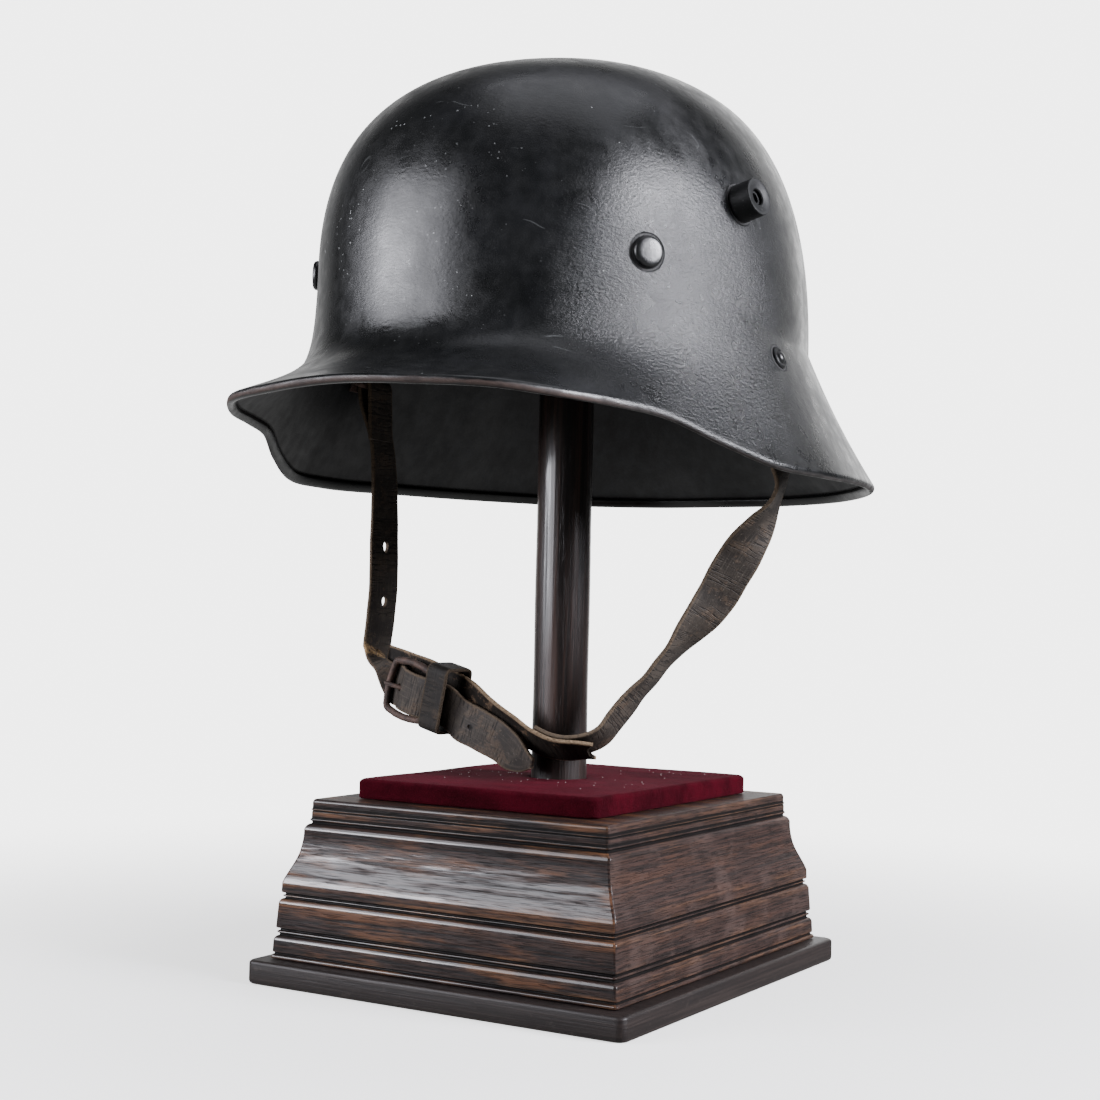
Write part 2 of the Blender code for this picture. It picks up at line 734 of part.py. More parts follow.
def through_buckle(guard):
    """Centres and width directions of the strap's stretch through the buckle."""
    centre, forward, width, face = buckle_axes(guard)
    points = [centre + forward * ahead + face * out for ahead, out in THROUGH_BUCKLE]
    return np.array(points), np.array([width] * len(points))


def through_keeper(guard):
    centre, forward, width, face = guard.at(KEEPER_AT)
    points = [centre + forward * ahead + width * rise + face * out
              for ahead, rise, out in THROUGH_KEEPER]
    return np.array(points), np.array([width] * len(points))


def between_edges(rows):
    """Centres, width directions and half widths of rows that give both edges."""
    rows = np.array(rows)
    front, rear = rows[:, :3], rows[:, 3:]
    half = np.linalg.norm(rear - front, axis=1) / 2
    return (front + rear) / 2, unit(rear - front), list(half)


def make_right_strap(guard, leather, group, cutters):
    """From the right lug down to a crease, through the buckle and keeper to a pointed end."""
    hung = hung_over_bar(-1.0, RIGHT_STRAP[0][:3])
    straight = stations(RIGHT_STRAP)
    twist = between_edges(TWIST_STRAP)
    buckled = through_buckle(guard)
    kept = through_keeper(guard)
    free = stations([row[:4] for row in FREE_STRAP])
    pieces = (hung, straight, twist, buckled, kept, free)
    centre = np.concatenate([piece[0] for piece in pieces])
    width = np.concatenate([piece[1] for piece in pieces])
    above = [STRAP_WIDTH / 2] * (len(hung[0]) + len(straight[0])) + twist[2]
    above += [STRAP_WIDTH / 2] * (len(THROUGH_BUCKLE) + len(THROUGH_KEEPER))
    band = Band(centre, width, per=2, low=above + [row[4] for row in FREE_STRAP],
                high=above + [row[5] for row in FREE_STRAP])
    strap = make_band("strap_right", band, STRAP_THICK, leather, group)
    for i, (distance, rise, length, across) in enumerate(HOLES):
        punch(f"strap_hole_{i}", strap, band, distance, rise, length, across, cutters, leather)
    middle, forward, _, _ = buckle_axes(guard)
    at = band.near(middle + forward * PRONG_HOLE_AT)
    punch("prong_hole", strap, band, at, 0.0, *PRONG_HOLE, cutters, leather)


def make_post(wood, group):
    foot = PLINTH_TOP + GAP
    top = cap_height() - CAP_DEPTH - GAP
    profile = [(0, top), (POST_RADIUS - 0.5, top), (POST_RADIUS, top - 0.5),
               (POST_RADIUS, foot + 0.4), (POST_RADIUS - 0.4, foot), (0, foot)]
    turned("post", profile, Matrix.Identity(4), wood, group, steps=32)


def cap_height():
    """Top of the cap, just under the lowest point of the crown above it."""
    room = []
    for turn in range(0, 360, 10):
        side = 1.0 if turn <= 180 else -1.0
        line = np.array(dome_line(turn if turn <= 180 else 360 - turn, side, 60))
        for point in line:
            out = math.hypot(point[0], point[1])
            if out <= CAP_RADIUS + 2:
                drop = CAP_DROP * (out / CAP_RADIUS) ** 2
                room.append(point[2] - STEEL - GAP + drop)
    return min(room)


def make_cap(wood, group):
    top = cap_height()
    dome = [(CAP_RADIUS * k / 5, top - CAP_DROP * (k / 5) ** 2) for k in range(6)]
    side = [(CAP_RADIUS, top - CAP_DROP - 3), (CAP_RADIUS - 4, top - CAP_DEPTH + 3),
            (POST_RADIUS + 5, top - CAP_DEPTH), (0, top - CAP_DEPTH)]
    turned("post_cap", dome + side, Matrix.Identity(4), wood, group, steps=24)


def rounded_rectangle(half_x, half_y, radius, per=3):
    points = []
    for corner, (sx, sy) in enumerate(((1, 1), (-1, 1), (-1, -1), (1, -1))):
        for k in range(per + 1):
            a = math.radians(90 * corner + 90 * k / per)
            points.append((sx * (half_x - radius) + radius * math.cos(a),
                           sy * (half_y - radius) + radius * math.sin(a)))
    return points


def stacked(name, rows, radius, material, group):
    """Solid of rounded rectangles; rows are height and half width, bottom to top."""
    points, faces = [], []
    for height, half in rows:
        points += [(x, y, height)
                   for x, y in rounded_rectangle(half, half + PLAN_EXTRA, radius)]
    n = len(points) // len(rows)
    faces.append(tuple(range(n - 1, -1, -1)))
    for r in range(len(rows) - 1):
        a, b = r * n, (r + 1) * n
        faces += [(a + k, a + (k + 1) % n, b + (k + 1) % n, b + k) for k in range(n)]
    faces.append(tuple(range(len(points) - n, len(points))))
    return mesh_object(name, points, faces, material, group)


def make_plinth(wood, velvet, group, cutters):
    slab = ((0.0, SLAB_HALF - 1.2), (0.5, SLAB_HALF - 0.3), (1.5, SLAB_HALF),
            (SLAB_HEIGHT - 2.4, SLAB_HALF), (SLAB_HEIGHT - 0.8, SLAB_HALF - 0.8),
            (SLAB_HEIGHT, SLAB_HALF - 2.6))
    stacked("plinth_slab", slab, 3.5, wood, group)
    stacked("plinth_body", MOULDING, 1.6, wood, group)
    low, high = PLINTH_TOP + GAP, PLINTH_TOP + GAP + PAD_HEIGHT
    pad_rows = ((low, PAD_HALF - 0.4), (low + 0.5, PAD_HALF), (high - 2.0, PAD_HALF),
                (high - 0.7, PAD_HALF - 0.7), (high, PAD_HALF - 2.0))
    pad = stacked("velvet_pad", pad_rows, 3.0, velvet, group)
    radius = POST_RADIUS + GAP
    profile = [(0, high + 5), (radius, high + 5), (radius, low - 5), (0, low - 5)]
    cut(pad, turned("post_hole", profile, Matrix.Identity(4), wood, cutters, steps=32), cutters)


def buckle_axes(guard):
    """Middle of the buckle and its axes: along the strip, across it and outwards."""
    centre, forward, width, face = guard.at(BUCKLE_AT)
    return centre + width * BUCKLE_DROP + face * BUCKLE_OUT, forward, width, face


def make_buckle(guard, iron, group):
    """Rectangular frame of round iron."""
    centre, forward, width, _ = buckle_axes(guard)
    half_h = BUCKLE_HEIGHT / 2 - BUCKLE_WIRE
    corner = 3.0
    line = []
    for quarter, (sx, sy) in enumerate(((1, 1), (-1, 1), (-1, -1), (1, -1))):
        for k in range(4):
            a = math.radians(90 * quarter + 30 * k)
            line.append(centre + forward * (sx * (BAR_REACH - corner) + corner * math.cos(a))
                        + width * (sy * (half_h - corner) + corner * math.sin(a)))
    rod("buckle_frame", line, BUCKLE_WIRE, iron, group, closed=True, sides=2)


def make_prong(guard, iron, group):
    """Prong hooked round the buckle's far bar, its tip resting on the near bar."""
    centre, forward, _, face = buckle_axes(guard)
    eye = BUCKLE_WIRE + GAP + PRONG_EYE_RADIUS
    line, size = [], []
    for degrees in range(-150, 151, 30):
        a = math.radians(degrees)
        line.append(centre + forward * (BAR_REACH + eye * math.cos(a)) + face * eye * math.sin(a))
        size.append(PRONG_EYE_RADIUS / PRONG_RADIUS)
    for along_strip, out in PRONG_SHAFT:
        line.append(centre + forward * along_strip + face * out)
        size.append(1.0)
    rod("buckle_prong", line, PRONG_RADIUS, iron, group, radii=size, sides=1)


def make_chape(guard, leather, group, cutters):
    """Short leather loop that holds the buckle's far bar to the guard strip."""
    centre, forward, width, face = buckle_axes(guard)
    bend = BUCKLE_WIRE + GAP + CHAPE_THICK / 2
    on_strip = STRAP_THICK / 2 + 2 * GAP + CHAPE_THICK / 2
    bar_at = BUCKLE_AT + BAR_REACH
    points, across = [], []
    for ahead in (CHAPE_LENGTH, 8.0, 3.5):
        points.append(guard.spot(bar_at + ahead, BUCKLE_DROP, on_strip))
        across.append(guard.at(bar_at + ahead)[2])
    for degrees in range(-100, -281, -30):
        a = math.radians(degrees)
        points.append(centre + forward * (BAR_REACH + bend * math.cos(a))
                      + face * bend * math.sin(a))
        across.append(width)
    points.append(centre + forward * (BAR_REACH + 3.0) + face * (bend - 1.2))
    across.append(width)
    on_back = on_strip + CHAPE_THICK + GAP
    for ahead, out in ((8.5, on_back + 0.4), (CHAPE_LENGTH, on_back)):
        points.append(guard.spot(bar_at + ahead, BUCKLE_DROP, out))
        across.append(guard.at(bar_at + ahead)[2])
    half = [CHAPE_WIDTH / 2] * len(points)
    band = Band(np.array(points), across, per=1, low=half, high=half)
    chape = make_band("buckle_chape", band, CHAPE_THICK, leather, group)
    slot = [centre + forward * (BAR_REACH + a) + width * b + face * c
            for c in (-3.9, 3.6) for a, b in ((-6, -2), (3.2, -2), (3.2, 2), (-6, 2))]
    faces = [(3, 2, 1, 0), (4, 5, 6, 7), (0, 1, 5, 4), (1, 2, 6, 5), (2, 3, 7, 6), (3, 0, 4, 7)]
    cut(chape, mesh_object("chape_slot", slot, faces, leather, cutters, smooth=False), cutters)


def make_keeper(guard, leather, group):
    """Closed leather band round the guard strip and the tail."""
    centre, forward, width, face = guard.at(KEEPER_AT)
    skew = math.radians(KEEPER_SKEW)
    width, forward = (width * math.cos(skew) - forward * math.sin(skew),
                      forward * math.cos(skew) + width * math.sin(skew))
    back = -(STRAP_THICK + KEEPER_THICK) / 2 - 4 * GAP
    radius = 2.2
    line = []
    spots = ((KEEPER_TOP, KEEPER_FRONT, 0), (KEEPER_BOTTOM, KEEPER_FRONT, 90),
             (KEEPER_BOTTOM, back, 180), (KEEPER_TOP, back, 270))
    for rise, out, start in spots:
        inner_rise = rise - math.copysign(radius, rise)
        inner_out = out - math.copysign(radius, out)
        for k in range(4):
            a = math.radians(start + 30 * k)
            line.append(centre + width * (inner_rise + radius * math.cos(a))
                        + face * (inner_out + radius * math.sin(a)))
    band = Band(np.array(line), [forward] * len(line), per=1,
                low=[KEEPER_WIDTH / 2] * len(line), high=[KEEPER_WIDTH / 2] * len(line))
    make_band("strap_keeper", band, KEEPER_THICK, leather, group, closed=True)


def build():
    clear_scene()
    group = new_collection("steel_helmet_on_stand")
    cutters = new_collection("cutters")
    paint = make_material("black_paint", (0.012, 0.014, 0.014), 0.38)
    leather = make_material("strap_leather", (0.09, 0.075, 0.06), 0.65)
    iron = make_material("rusty_iron", (0.13, 0.065, 0.045), 0.6, 0.7)
    wood = make_material("dark_wood", (0.05, 0.025, 0.017), 0.25)
    velvet = make_material("red_velvet", (0.09, 0.008, 0.02), 0.9)
    shell = make_shell(paint, group)
    make_rivet("rivet_front_left", RIVET_FRONT_LEFT, 1.0, shell, paint, group, cutters)
    make_rivet("rivet_front_right", RIVET_FRONT_RIGHT, -1.0, shell, paint, group, cutters)
    make_rivet("rivet_rear", RIVET_REAR, 1.0, shell, paint, group, cutters)
    make_vent("vent_lug_left", 1.0, shell, paint, group, cutters)
    make_vent("vent_lug_right", -1.0, shell, paint, group, cutters)
    make_strap_lug("strap_lug_left", 1.0, shell, iron, group, cutters)
    make_strap_lug("strap_lug_right", -1.0, shell, iron, group, cutters)
    guard = make_guard(leather, group, cutters)
    make_left_strap(guard, leather, group)
    make_right_strap(guard, leather, group, cutters)
    make_buckle(guard, iron, group)
    make_prong(guard, iron, group)
    make_chape(guard, leather, group, cutters)
    make_keeper(guard, leather, group)
    make_post(wood, group)
    make_cap(wood, group)
    make_plinth(wood, velvet, group, cutters)


build()
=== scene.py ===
import math
import bpy
import bmesh
import numpy as np
from mathutils import Matrix, Vector


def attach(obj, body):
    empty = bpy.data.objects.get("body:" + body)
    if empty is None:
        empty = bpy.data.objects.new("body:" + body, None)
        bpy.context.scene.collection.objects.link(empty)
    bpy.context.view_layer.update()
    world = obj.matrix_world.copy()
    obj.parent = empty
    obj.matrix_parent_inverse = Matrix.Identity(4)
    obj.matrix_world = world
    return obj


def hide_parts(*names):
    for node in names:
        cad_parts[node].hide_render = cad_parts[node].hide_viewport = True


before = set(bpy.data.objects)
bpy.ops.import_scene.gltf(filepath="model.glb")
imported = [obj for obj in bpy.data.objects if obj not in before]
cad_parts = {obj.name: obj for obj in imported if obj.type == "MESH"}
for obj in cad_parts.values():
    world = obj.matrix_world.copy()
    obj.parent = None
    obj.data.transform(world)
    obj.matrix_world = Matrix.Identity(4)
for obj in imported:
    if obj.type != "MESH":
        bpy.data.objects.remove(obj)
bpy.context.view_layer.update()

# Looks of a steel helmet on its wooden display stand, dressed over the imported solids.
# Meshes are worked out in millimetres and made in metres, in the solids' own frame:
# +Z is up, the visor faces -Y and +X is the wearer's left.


# ---------------------------------------------------------------- studio
# The photograph's own view: a level camera a little below the helmet, on its left front.
# The object stands on an endless pale table between two tall soft boxes, with a weak one above.

CAMERA_TURN = 0.54275           # round from the visor towards the wearer's left, radians
CAMERA_PITCH, CAMERA_ROLL = -0.03557, 0.02167
CAMERA_AT = (0.3853, -0.6499, 0.1501)
CAMERA_LENS, SENSOR = 58.34, 36.0
PALE, PALE_GLOW = (1.0, 1.0, 1.0), 4.5
TABLE_RADIUS, TABLE_CORNERS = 6.0, 96
OBJECT_MIDDLE = Vector((0.0, 0.0, 0.24))
LIGHT_COLOUR = (0.925, 0.93, 1.0)

# Soft boxes: degrees round and up, then distance, width and height in metres, and watts
SOFT_BOXES = {
    "front_box": (-34.0, 14.5, 1.5, 1.22, 1.05, 31.0),
    "front_core": (-44.0, 6.0, 1.4, 0.62, 0.42, 14.0),
    "side_box": (96.0, 20.0, 1.5, 0.92, 0.85, 31.0),
    "side_core": (96.0, 18.0, 1.4, 0.50, 0.60, 44.0),
    "top_box": (120.0, 82.0, 1.6, 1.3, 1.3, 7.0),
}


class Signal:
    """A socket of a finish's nodes. Arithmetic on it adds Math nodes."""

    def __init__(self, finish, socket):
        self.finish, self.socket = finish, socket

    def math(self, operation, *values):
        return self.finish.node("Math", {"operation": operation}, dict(enumerate(values)))

    def most(self, other):
        return self.math("MAXIMUM", self, other)

    def size(self):
        return self.math("ABSOLUTE", self)

    def step(self, low, high):
        """Smooth step from 0 at low to 1 at high; low may be the larger one."""
        return self.finish.node("MapRange", {"interpolation_type": "SMOOTHSTEP"},
                                {"Value": self, "From Min": low, "From Max": high})

    def axis(self, letter):
        return self.finish.node("SeparateXYZ", {}, {0: self}, letter)

    def measured(self, operation, other):
        """One number from this vector and another."""
        return self.finish.node("VectorMath", {"operation": operation},
                                {0: self, 1: other}, "Value")

    def away_from(self, point):
        return self.measured("DISTANCE", point)


for sign, kind in (("add", "ADD"), ("sub", "SUBTRACT"), ("mul", "MULTIPLY"), ("truediv", "DIVIDE")):
    setattr(Signal, f"__{sign}__", lambda a, b, kind=kind: a.math(kind, a, b))
    setattr(Signal, f"__r{sign}__", lambda a, b, kind=kind: a.math(kind, b, a))


class Finish:
    """The nodes of a material or of the world, with the shader that they feed."""

    def __init__(self, owner, shader):
        owner.use_nodes = True
        self.material, self.tree = owner, owner.node_tree
        self.shader = self.tree.nodes[shader]

    def join(self, value, socket):
        if isinstance(value, Signal):
            self.tree.links.new(value.socket, socket)
        else:
            socket.default_value = (*value, 1.0) if socket.type == "RGBA" else value

    def node(self, kind, settings, inputs, output=0):
        made = self.tree.nodes.new("ShaderNode" + kind)
        for name, value in settings.items():
            setattr(made, name, value)
        for name, value in inputs.items():
            self.join(value, made.inputs[name])
        return Signal(self, made.outputs[output])

    def feed(self, **sockets):
        for name, value in sockets.items():
            self.join(value, self.shader.inputs[name.replace("_", " ")])

    def place(self):
        return self.node("TexCoord", {}, {}, "Object")

    def laid_out(self, name):
        return self.node("UVMap", {"uv_map": name}, {})

    def attribute(self, name):
        return self.node("Attribute", {"attribute_name": name}, {}, "Fac")

    def noise(self, place, scale, detail=3.0, rough=0.5, turn=(0, 0, 0), shift=(0, 0, 0)):
        """Noise of one scale, or of three scales and then turned and shifted as told."""
        if isinstance(scale, tuple):
            place = self.node("Mapping", {}, {"Vector": place, "Scale": scale,
                                              "Rotation": turn, "Location": shift})
            scale = 1.0
        return self.node("TexNoise", {}, {"Vector": place, "Scale": scale,
                                          "Detail": detail, "Roughness": rough})

    def mix(self, share, first, second):
        return self.node("Mix", {"data_type": "RGBA"}, {0: share, 6: first, 7: second}, 2)

    def ground(self, share, first, second):
        self.colour = self.mix(share, first, second)

    def over(self, share, tint):
        self.colour = self.mix(share, self.colour, tint)

    def done(self, height, strength=1.0, **sockets):
        """Feed the colour so far, the relief of a height in metres, and the rest."""
        relief = self.node("Bump", {}, {"Height": height, "Distance": 1.0, "Strength": strength})
        self.feed(Base_Color=self.colour, Normal=relief, **sockets)
        return self


def new_finish(name, **sockets):
    finish = Finish(bpy.data.materials.new(name), "Principled BSDF")
    finish.feed(**sockets)
    return finish


def placed(name, data):
    thing = bpy.data.objects.new(name, data)
    bpy.context.scene.collection.objects.link(thing)
    return thing


def towards(turn, rise):
    """Direction from degrees round from the visor to the wearer's left, and degrees up."""
    a, b = math.radians(turn), math.radians(rise)
    return Vector((math.sin(a) * math.cos(b), -math.cos(a) * math.cos(b), math.sin(b)))


back = towards(math.degrees(CAMERA_TURN), math.degrees(CAMERA_PITCH))
right = (-back).cross(Vector((0, 0, 1))).normalized()
up = right.cross(-back)
level = right * math.cos(CAMERA_ROLL) + up * math.sin(CAMERA_ROLL)
upright = up * math.cos(CAMERA_ROLL) - right * math.sin(CAMERA_ROLL)
lens = bpy.data.cameras.new("camera")
lens.sensor_width, lens.lens, lens.clip_start = SENSOR, CAMERA_LENS, 0.01
camera = placed("camera", lens)
camera.matrix_world = Matrix.Translation(CAMERA_AT) @ Matrix(
    [(level[k], upright[k], back[k]) for k in range(3)]).to_4x4()
bpy.context.scene.camera = camera

for name, (turn, rise, distance, width, height, power) in SOFT_BOXES.items():
    light = bpy.data.lights.new(name, "AREA")
    light.shape = "RECTANGLE"
    light.size, light.size_y, light.energy, light.color = width, height, power, LIGHT_COLOUR
    out = towards(turn, rise)
    placed(name, light).matrix_world = (Matrix.Translation(OBJECT_MIDDLE + out * distance)
                                        @ out.to_track_quat("Z", "Y").to_matrix().to_4x4())

# Pale all round to the eye; in reflections a pale wall behind a dim room
world = bpy.context.scene.world = bpy.data.worlds.new("studio")
room = Finish(world, "Background")
way = room.node("TexCoord", {}, {}, "Generated")
wall = way.measured("DOT_PRODUCT", tuple(-towards(31.0, 0.0))).step(0.62, 0.95)
aside = way.measured("DOT_PRODUCT", tuple(towards(192.0, 16.0))).step(0.89, 0.985)
aside = aside * way.axis("Z").step(0.0, 0.14)
below = way.axis("Z").step(0.02, -0.60)
seen = room.node("LightPath", {}, {}, "Is Camera Ray")
glow = 0.050 + wall * 0.95 * (1.0 - below) + aside * 1.8 + below * 0.55
room.feed(Color=PALE, Strength=glow.most(seen * PALE_GLOW))

# A disc whose far part glows as pale as the world, so that no edge shows
table = new_finish("pale_table", Base_Color=(0.93, 0.93, 0.93), Roughness=0.9)
far = 0.30 + table.place().away_from((0.0, 0.0, 0.0)).step(0.14, 0.6) * 0.70
lit = table.node("Emission", {}, {"Color": PALE, "Strength": PALE_GLOW})
both = table.node("MixShader", {}, {0: far, 1: Signal(table, table.shader.outputs[0]), 2: lit})
table.join(both, table.tree.nodes["Material Output"].inputs["Surface"])
disc = bpy.data.meshes.new("table")
disc.from_pydata([(TABLE_RADIUS * math.cos(a), TABLE_RADIUS * math.sin(a), 0.0)
                  for a in np.linspace(0.0, 2 * math.pi, TABLE_CORNERS + 1)[:-1]],
                 [], [tuple(range(TABLE_CORNERS))])
disc.materials.append(table.material)
table_top = placed("table", disc)
table_top.visible_glossy = table_top.visible_diffuse = False


# ---------------------------------------------------------------- shell
# The helmet is one pressed sheet of steel, its edge rolled inwards over a hem.
# It is painted black inside and out; the paint is chipped, scratched and worn at the edge.

MM = 0.001
CROWN_HEIGHT, CROWN_BACK = 379.4, 27.8
DOME_FRONT, DOME_SIDE, DOME_REAR = 118.0, 98.0, 119.2
DOME_UPRIGHT, DOME_PLAN = 2.4, 2.87
WAIST_HEIGHT = (285.0, 262.0, 257.0)
SKIRT_START = (89.0, 68.0, 61.0)
SKIRT_END = (18.0, 61.0, 41.0)
SKIRT_TIGHT = (0.97, 0.70, 0.70)
FRONT_ANGLE, SIDE_ANGLE = 35.0, 95.0
STEEL = 1.2
ROLL_RADIUS = 1.8
HEM_WIDTH, HEM_DEPTH = 5.0, 2.6
SHELL_STATIONS = 300
SHELL_DOME_RINGS, SHELL_SKIRT_RINGS = 46, 26
FAR_FROM_EDGE = 40.0

# Edge of the helmet: angle from the front, half width, distance back, height
EDGE = np.array((
    (0, 0.0, -159.0, 230.1), (18, 29.8, -157.0, 228.8), (36, 61.9, -144.1, 226.9),
    (45, 74.8, -128.1, 225.0), (54, 84.1, -107.8, 223.5), (63, 93.0, -86.8, 220.8),
    (72, 104.9, -65.8, 212.8), (81, 115.9, -41.5, 205.9), (90, 120.9, -14.5, 204.7),
    (108, 118.0, 40.9, 205.2), (126, 101.8, 92.1, 205.4), (144, 73.2, 130.7, 205.2),
    (162, 37.0, 151.6, 205.2), (180, 0.0, 153.6, 205.2),
))
MIRROR = (-1, -1, 1, 1)
EDGE = np.vstack([EDGE[1] * MIRROR, EDGE, EDGE[-2] * MIRROR + (360, 0, 0, 0)])

# Fittings on the shell: angle from the front, height, side
RIVET_SEATS = ((51.5, 284.0, 1.0), (51.5, 287.5, -1.0), (180.0, 284.0, 1.0))
VENT_SEATS = ((76.0, 310.0, 1.0), (76.0, 310.0, -1.0))
LUG_SEATS = ((87.0, 252.0, 1.0), (87.0, 252.0, -1.0))
RIVET_RADIUS, VENT_COLLAR, LUG_DOME = 6.1, 7.3, 4.5

# Paint from dark to dusty, primer, a dark for the painted shade round the fittings and for the line
# along the hem's seam, worn steel, and worn steel on the visor
PAINT = (0.0024, 0.0027, 0.0029), (0.0048, 0.0052, 0.0056)
PAINT_INSIDE = (0.0034, 0.0040, 0.0046), (0.0150, 0.0168, 0.0185)
PRIMER, DUST, RING_SHADE_AND_SEAM = (0.40, 0.41, 0.41), (0.012, 0.0125, 0.0145), (0.0022, 0.0022, 0.0022)
BARE = (0.008, 0.0060, 0.0055), (0.037, 0.030, 0.028)
RUSTY = (0.016, 0.008, 0.0062), (0.045, 0.026, 0.020)


def hermite(u, step, start, leaving, end, arriving):
    return ((2 * u**3 - 3 * u**2 + 1) * start + (u**3 - 2 * u**2 + u) * step * leaving
            + (3 * u**2 - 2 * u**3) * end + (u**3 - u**2) * step * arriving)


def slopes(rows, step):
    """Slope of each step of a table, and at each row between two of them."""
    slope = np.diff(rows, axis=0) / step
    return slope, (slope[:-1] * step[1:] + slope[1:] * step[:-1]) / (step[:-1] + step[1:])


def edge_at(angle, side):
    """Point of the edge, on a smooth curve through its table."""
    at, value = EDGE[:, :1], EDGE[:, 1:]
    step = np.diff(at, axis=0)
    tangent = slopes(value, step)[1]
    i = int(np.clip(np.searchsorted(at[1:-1, 0], angle, side="right") - 1, 0, len(at) - 4))
    u = (angle - at[i + 1]) / step[i + 1]
    return hermite(u, step[i + 1], value[i + 1], tangent[i], value[i + 2],
                   tangent[i + 1]) * (side, 1, 1)


def ease(low, high, x):
    u = min(max((x - low) / (high - low), 0.0), 1.0)
    return u * u * (3 - 2 * u)


def round_the_head(values, angle):
    front, side, rear = values
    return (front + (side - front) * ease(FRONT_ANGLE, SIDE_ANGLE, angle)
            + (rear - side) * ease(SIDE_ANGLE, 180.0, angle))


def folded(turn, side=1.0):
    """Angle from the front and side of a turn that may go past the back."""
    return (turn, side) if turn <= 180 else (360 - turn, -side)


def dome_line(angle, side, count=60):
    """Points from the crown down to the widest line."""
    turn = math.radians(angle)
    reach = DOME_FRONT if angle < 90 else DOME_REAR
    waist = np.array([side * DOME_SIDE * math.sin(turn), -reach * math.cos(turn), 0.0])
    low = round_the_head(WAIST_HEIGHT, angle)
    u = 0.5 * math.pi * np.arange(count) / (count - 1)
    out = (np.sin(u) ** (2 / DOME_PLAN))[:, None]
    up = np.clip(np.cos(u), 0.0, 1.0) ** (2 / DOME_UPRIGHT)
    line = np.zeros((count, 3))
    line[:, 1] = CROWN_BACK * (1 - out[:, 0])
    line[:, 2] = low + (CROWN_HEIGHT - low) * up
    return line + waist * out


def run_along(line):
    """Distance of each point of a line from its start."""
    return np.concatenate([[0], np.cumsum(np.linalg.norm(np.diff(line, axis=0), axis=1))])


def skirt_line(waist, angle, side, count=30):
    """Points below the widest line down to the edge, with the edge's own two directions."""
    edge = edge_at(angle, side)
    outwards = edge[:2] - waist[:2]
    outwards = np.array([*(outwards / np.linalg.norm(outwards)), 0.0])
    start, end = (math.radians(round_the_head(s, angle)) for s in (SKIRT_START, SKIRT_END))
    down = outwards * math.cos(end) - np.array([0, 0, math.sin(end)])
    face = outwards * math.sin(end) + np.array([0, 0, math.cos(end)])
    edge = edge + face * ROLL_RADIUS
    reach = float(np.dot(edge - waist, outwards))
    drop = waist[2] - edge[2]
    knee_out = (drop - reach * math.tan(end)) / (math.tan(start) - math.tan(end))
    knee_out = min(max(knee_out, 0.0), 0.9 * reach)
    knee_down = max(drop - (reach - knee_out) * math.tan(end), 0.0)
    knee = waist + outwards * knee_out - np.array([0, 0, knee_down])
    tight = round_the_head(SKIRT_TIGHT, angle)
    first, second = waist + (knee - waist) * tight, edge + (knee - edge) * tight
    u = np.linspace(0, 1, 61)[:, None]
    fine = ((1 - u)**3 * waist + 3 * (1 - u)**2 * u * first + 3 * (1 - u) * u * u * second
            + u**3 * edge)
    run = run_along(fine)
    stops = np.linspace(0, run[-1] - HEM_WIDTH - 2.0, count)[1:]
    line = np.column_stack([np.interp(stops, run, fine[:, k]) for k in range(3)])
    return line, edge, down, face


def seat(angle, height, side):
    """Frame of a fitting on the outer face: Z outwards, X level, Y upwards."""
    step = 0.5
    lines = []
    for turn, flip in (folded(angle + s, side) for s in (-step, 0.0, step)):
        dome = dome_line(turn, flip)
        line = np.concatenate([dome, skirt_line(dome[-1], turn, flip)[0]])[::-1]
        lines.append([np.array([np.interp(z, line[:, 2], line[:, k]) for k in range(3)])
                      for z in (height - step, height, height + step)])
    z = np.cross(lines[2][1] - lines[0][1], lines[1][2] - lines[1][0]) * side
    z = z / np.linalg.norm(z)
    x = np.cross((0.0, 0.0, 1.0), z)
    x = x / np.linalg.norm(x)
    return lines[1][1], x, np.cross(z, x), z


def shell_rings():
    """Closed section of the helmet from the crown over the rolled edge to the inside."""
    outer, frames = [], []
    for s in range(SHELL_STATIONS):
        angle, side = folded(360.0 * s / SHELL_STATIONS)
        dome = dome_line(angle, side, SHELL_DOME_RINGS)
        skirt, *frame_there = skirt_line(dome[-1], angle, side, SHELL_SKIRT_RINGS)
        outer.append(np.concatenate([dome, skirt]))
        frames.append(frame_there)
    outer = np.array(outer).transpose(1, 0, 2)
    round_about = np.roll(outer, -1, axis=1) - np.roll(outer, 1, axis=1)
    normal = np.cross(np.gradient(outer, axis=0), round_about)
    size = np.linalg.norm(normal, axis=2, keepdims=True)
    normal = normal / np.where(size > 1e-9, size, 1.0)
    normal[0] = (0.0, 0.0, 1.0)
    edge, down, face = np.array(frames).transpose(1, 0, 2)
    roll = [edge - down * back for back in (4.6, 3.0)]
    for a in (math.radians(degrees) for degrees in range(90, -91, -18)):
        roll.append(edge + (down * (math.cos(a) - 1) + face * (math.sin(a) - 1)) * ROLL_RADIUS)
    for back, depth in ((3.4, 3.3), (HEM_WIDTH - 0.6, 2.9), (HEM_WIDTH - 0.1, HEM_DEPTH),
                        (HEM_WIDTH + 0.1, 2.0), (HEM_WIDTH + 0.3, STEEL + 0.1)):
        roll.append(edge - down * back - face * depth)
    return [*outer, *roll, *(outer - normal * STEEL)[::-1]], len(outer) + 2


def between(count, n, closed=False, first=0):
    """Faces from each ring of n points to the next, and from the last to the first if closed."""
    return [(a + k, a + (k + 1) % n, b + (k + 1) % n, b + k)
            for a, b in ((first + r * n, first + (r + 1) % count * n)
                         for r in range(count if closed else count - 1)) for k in range(n)]


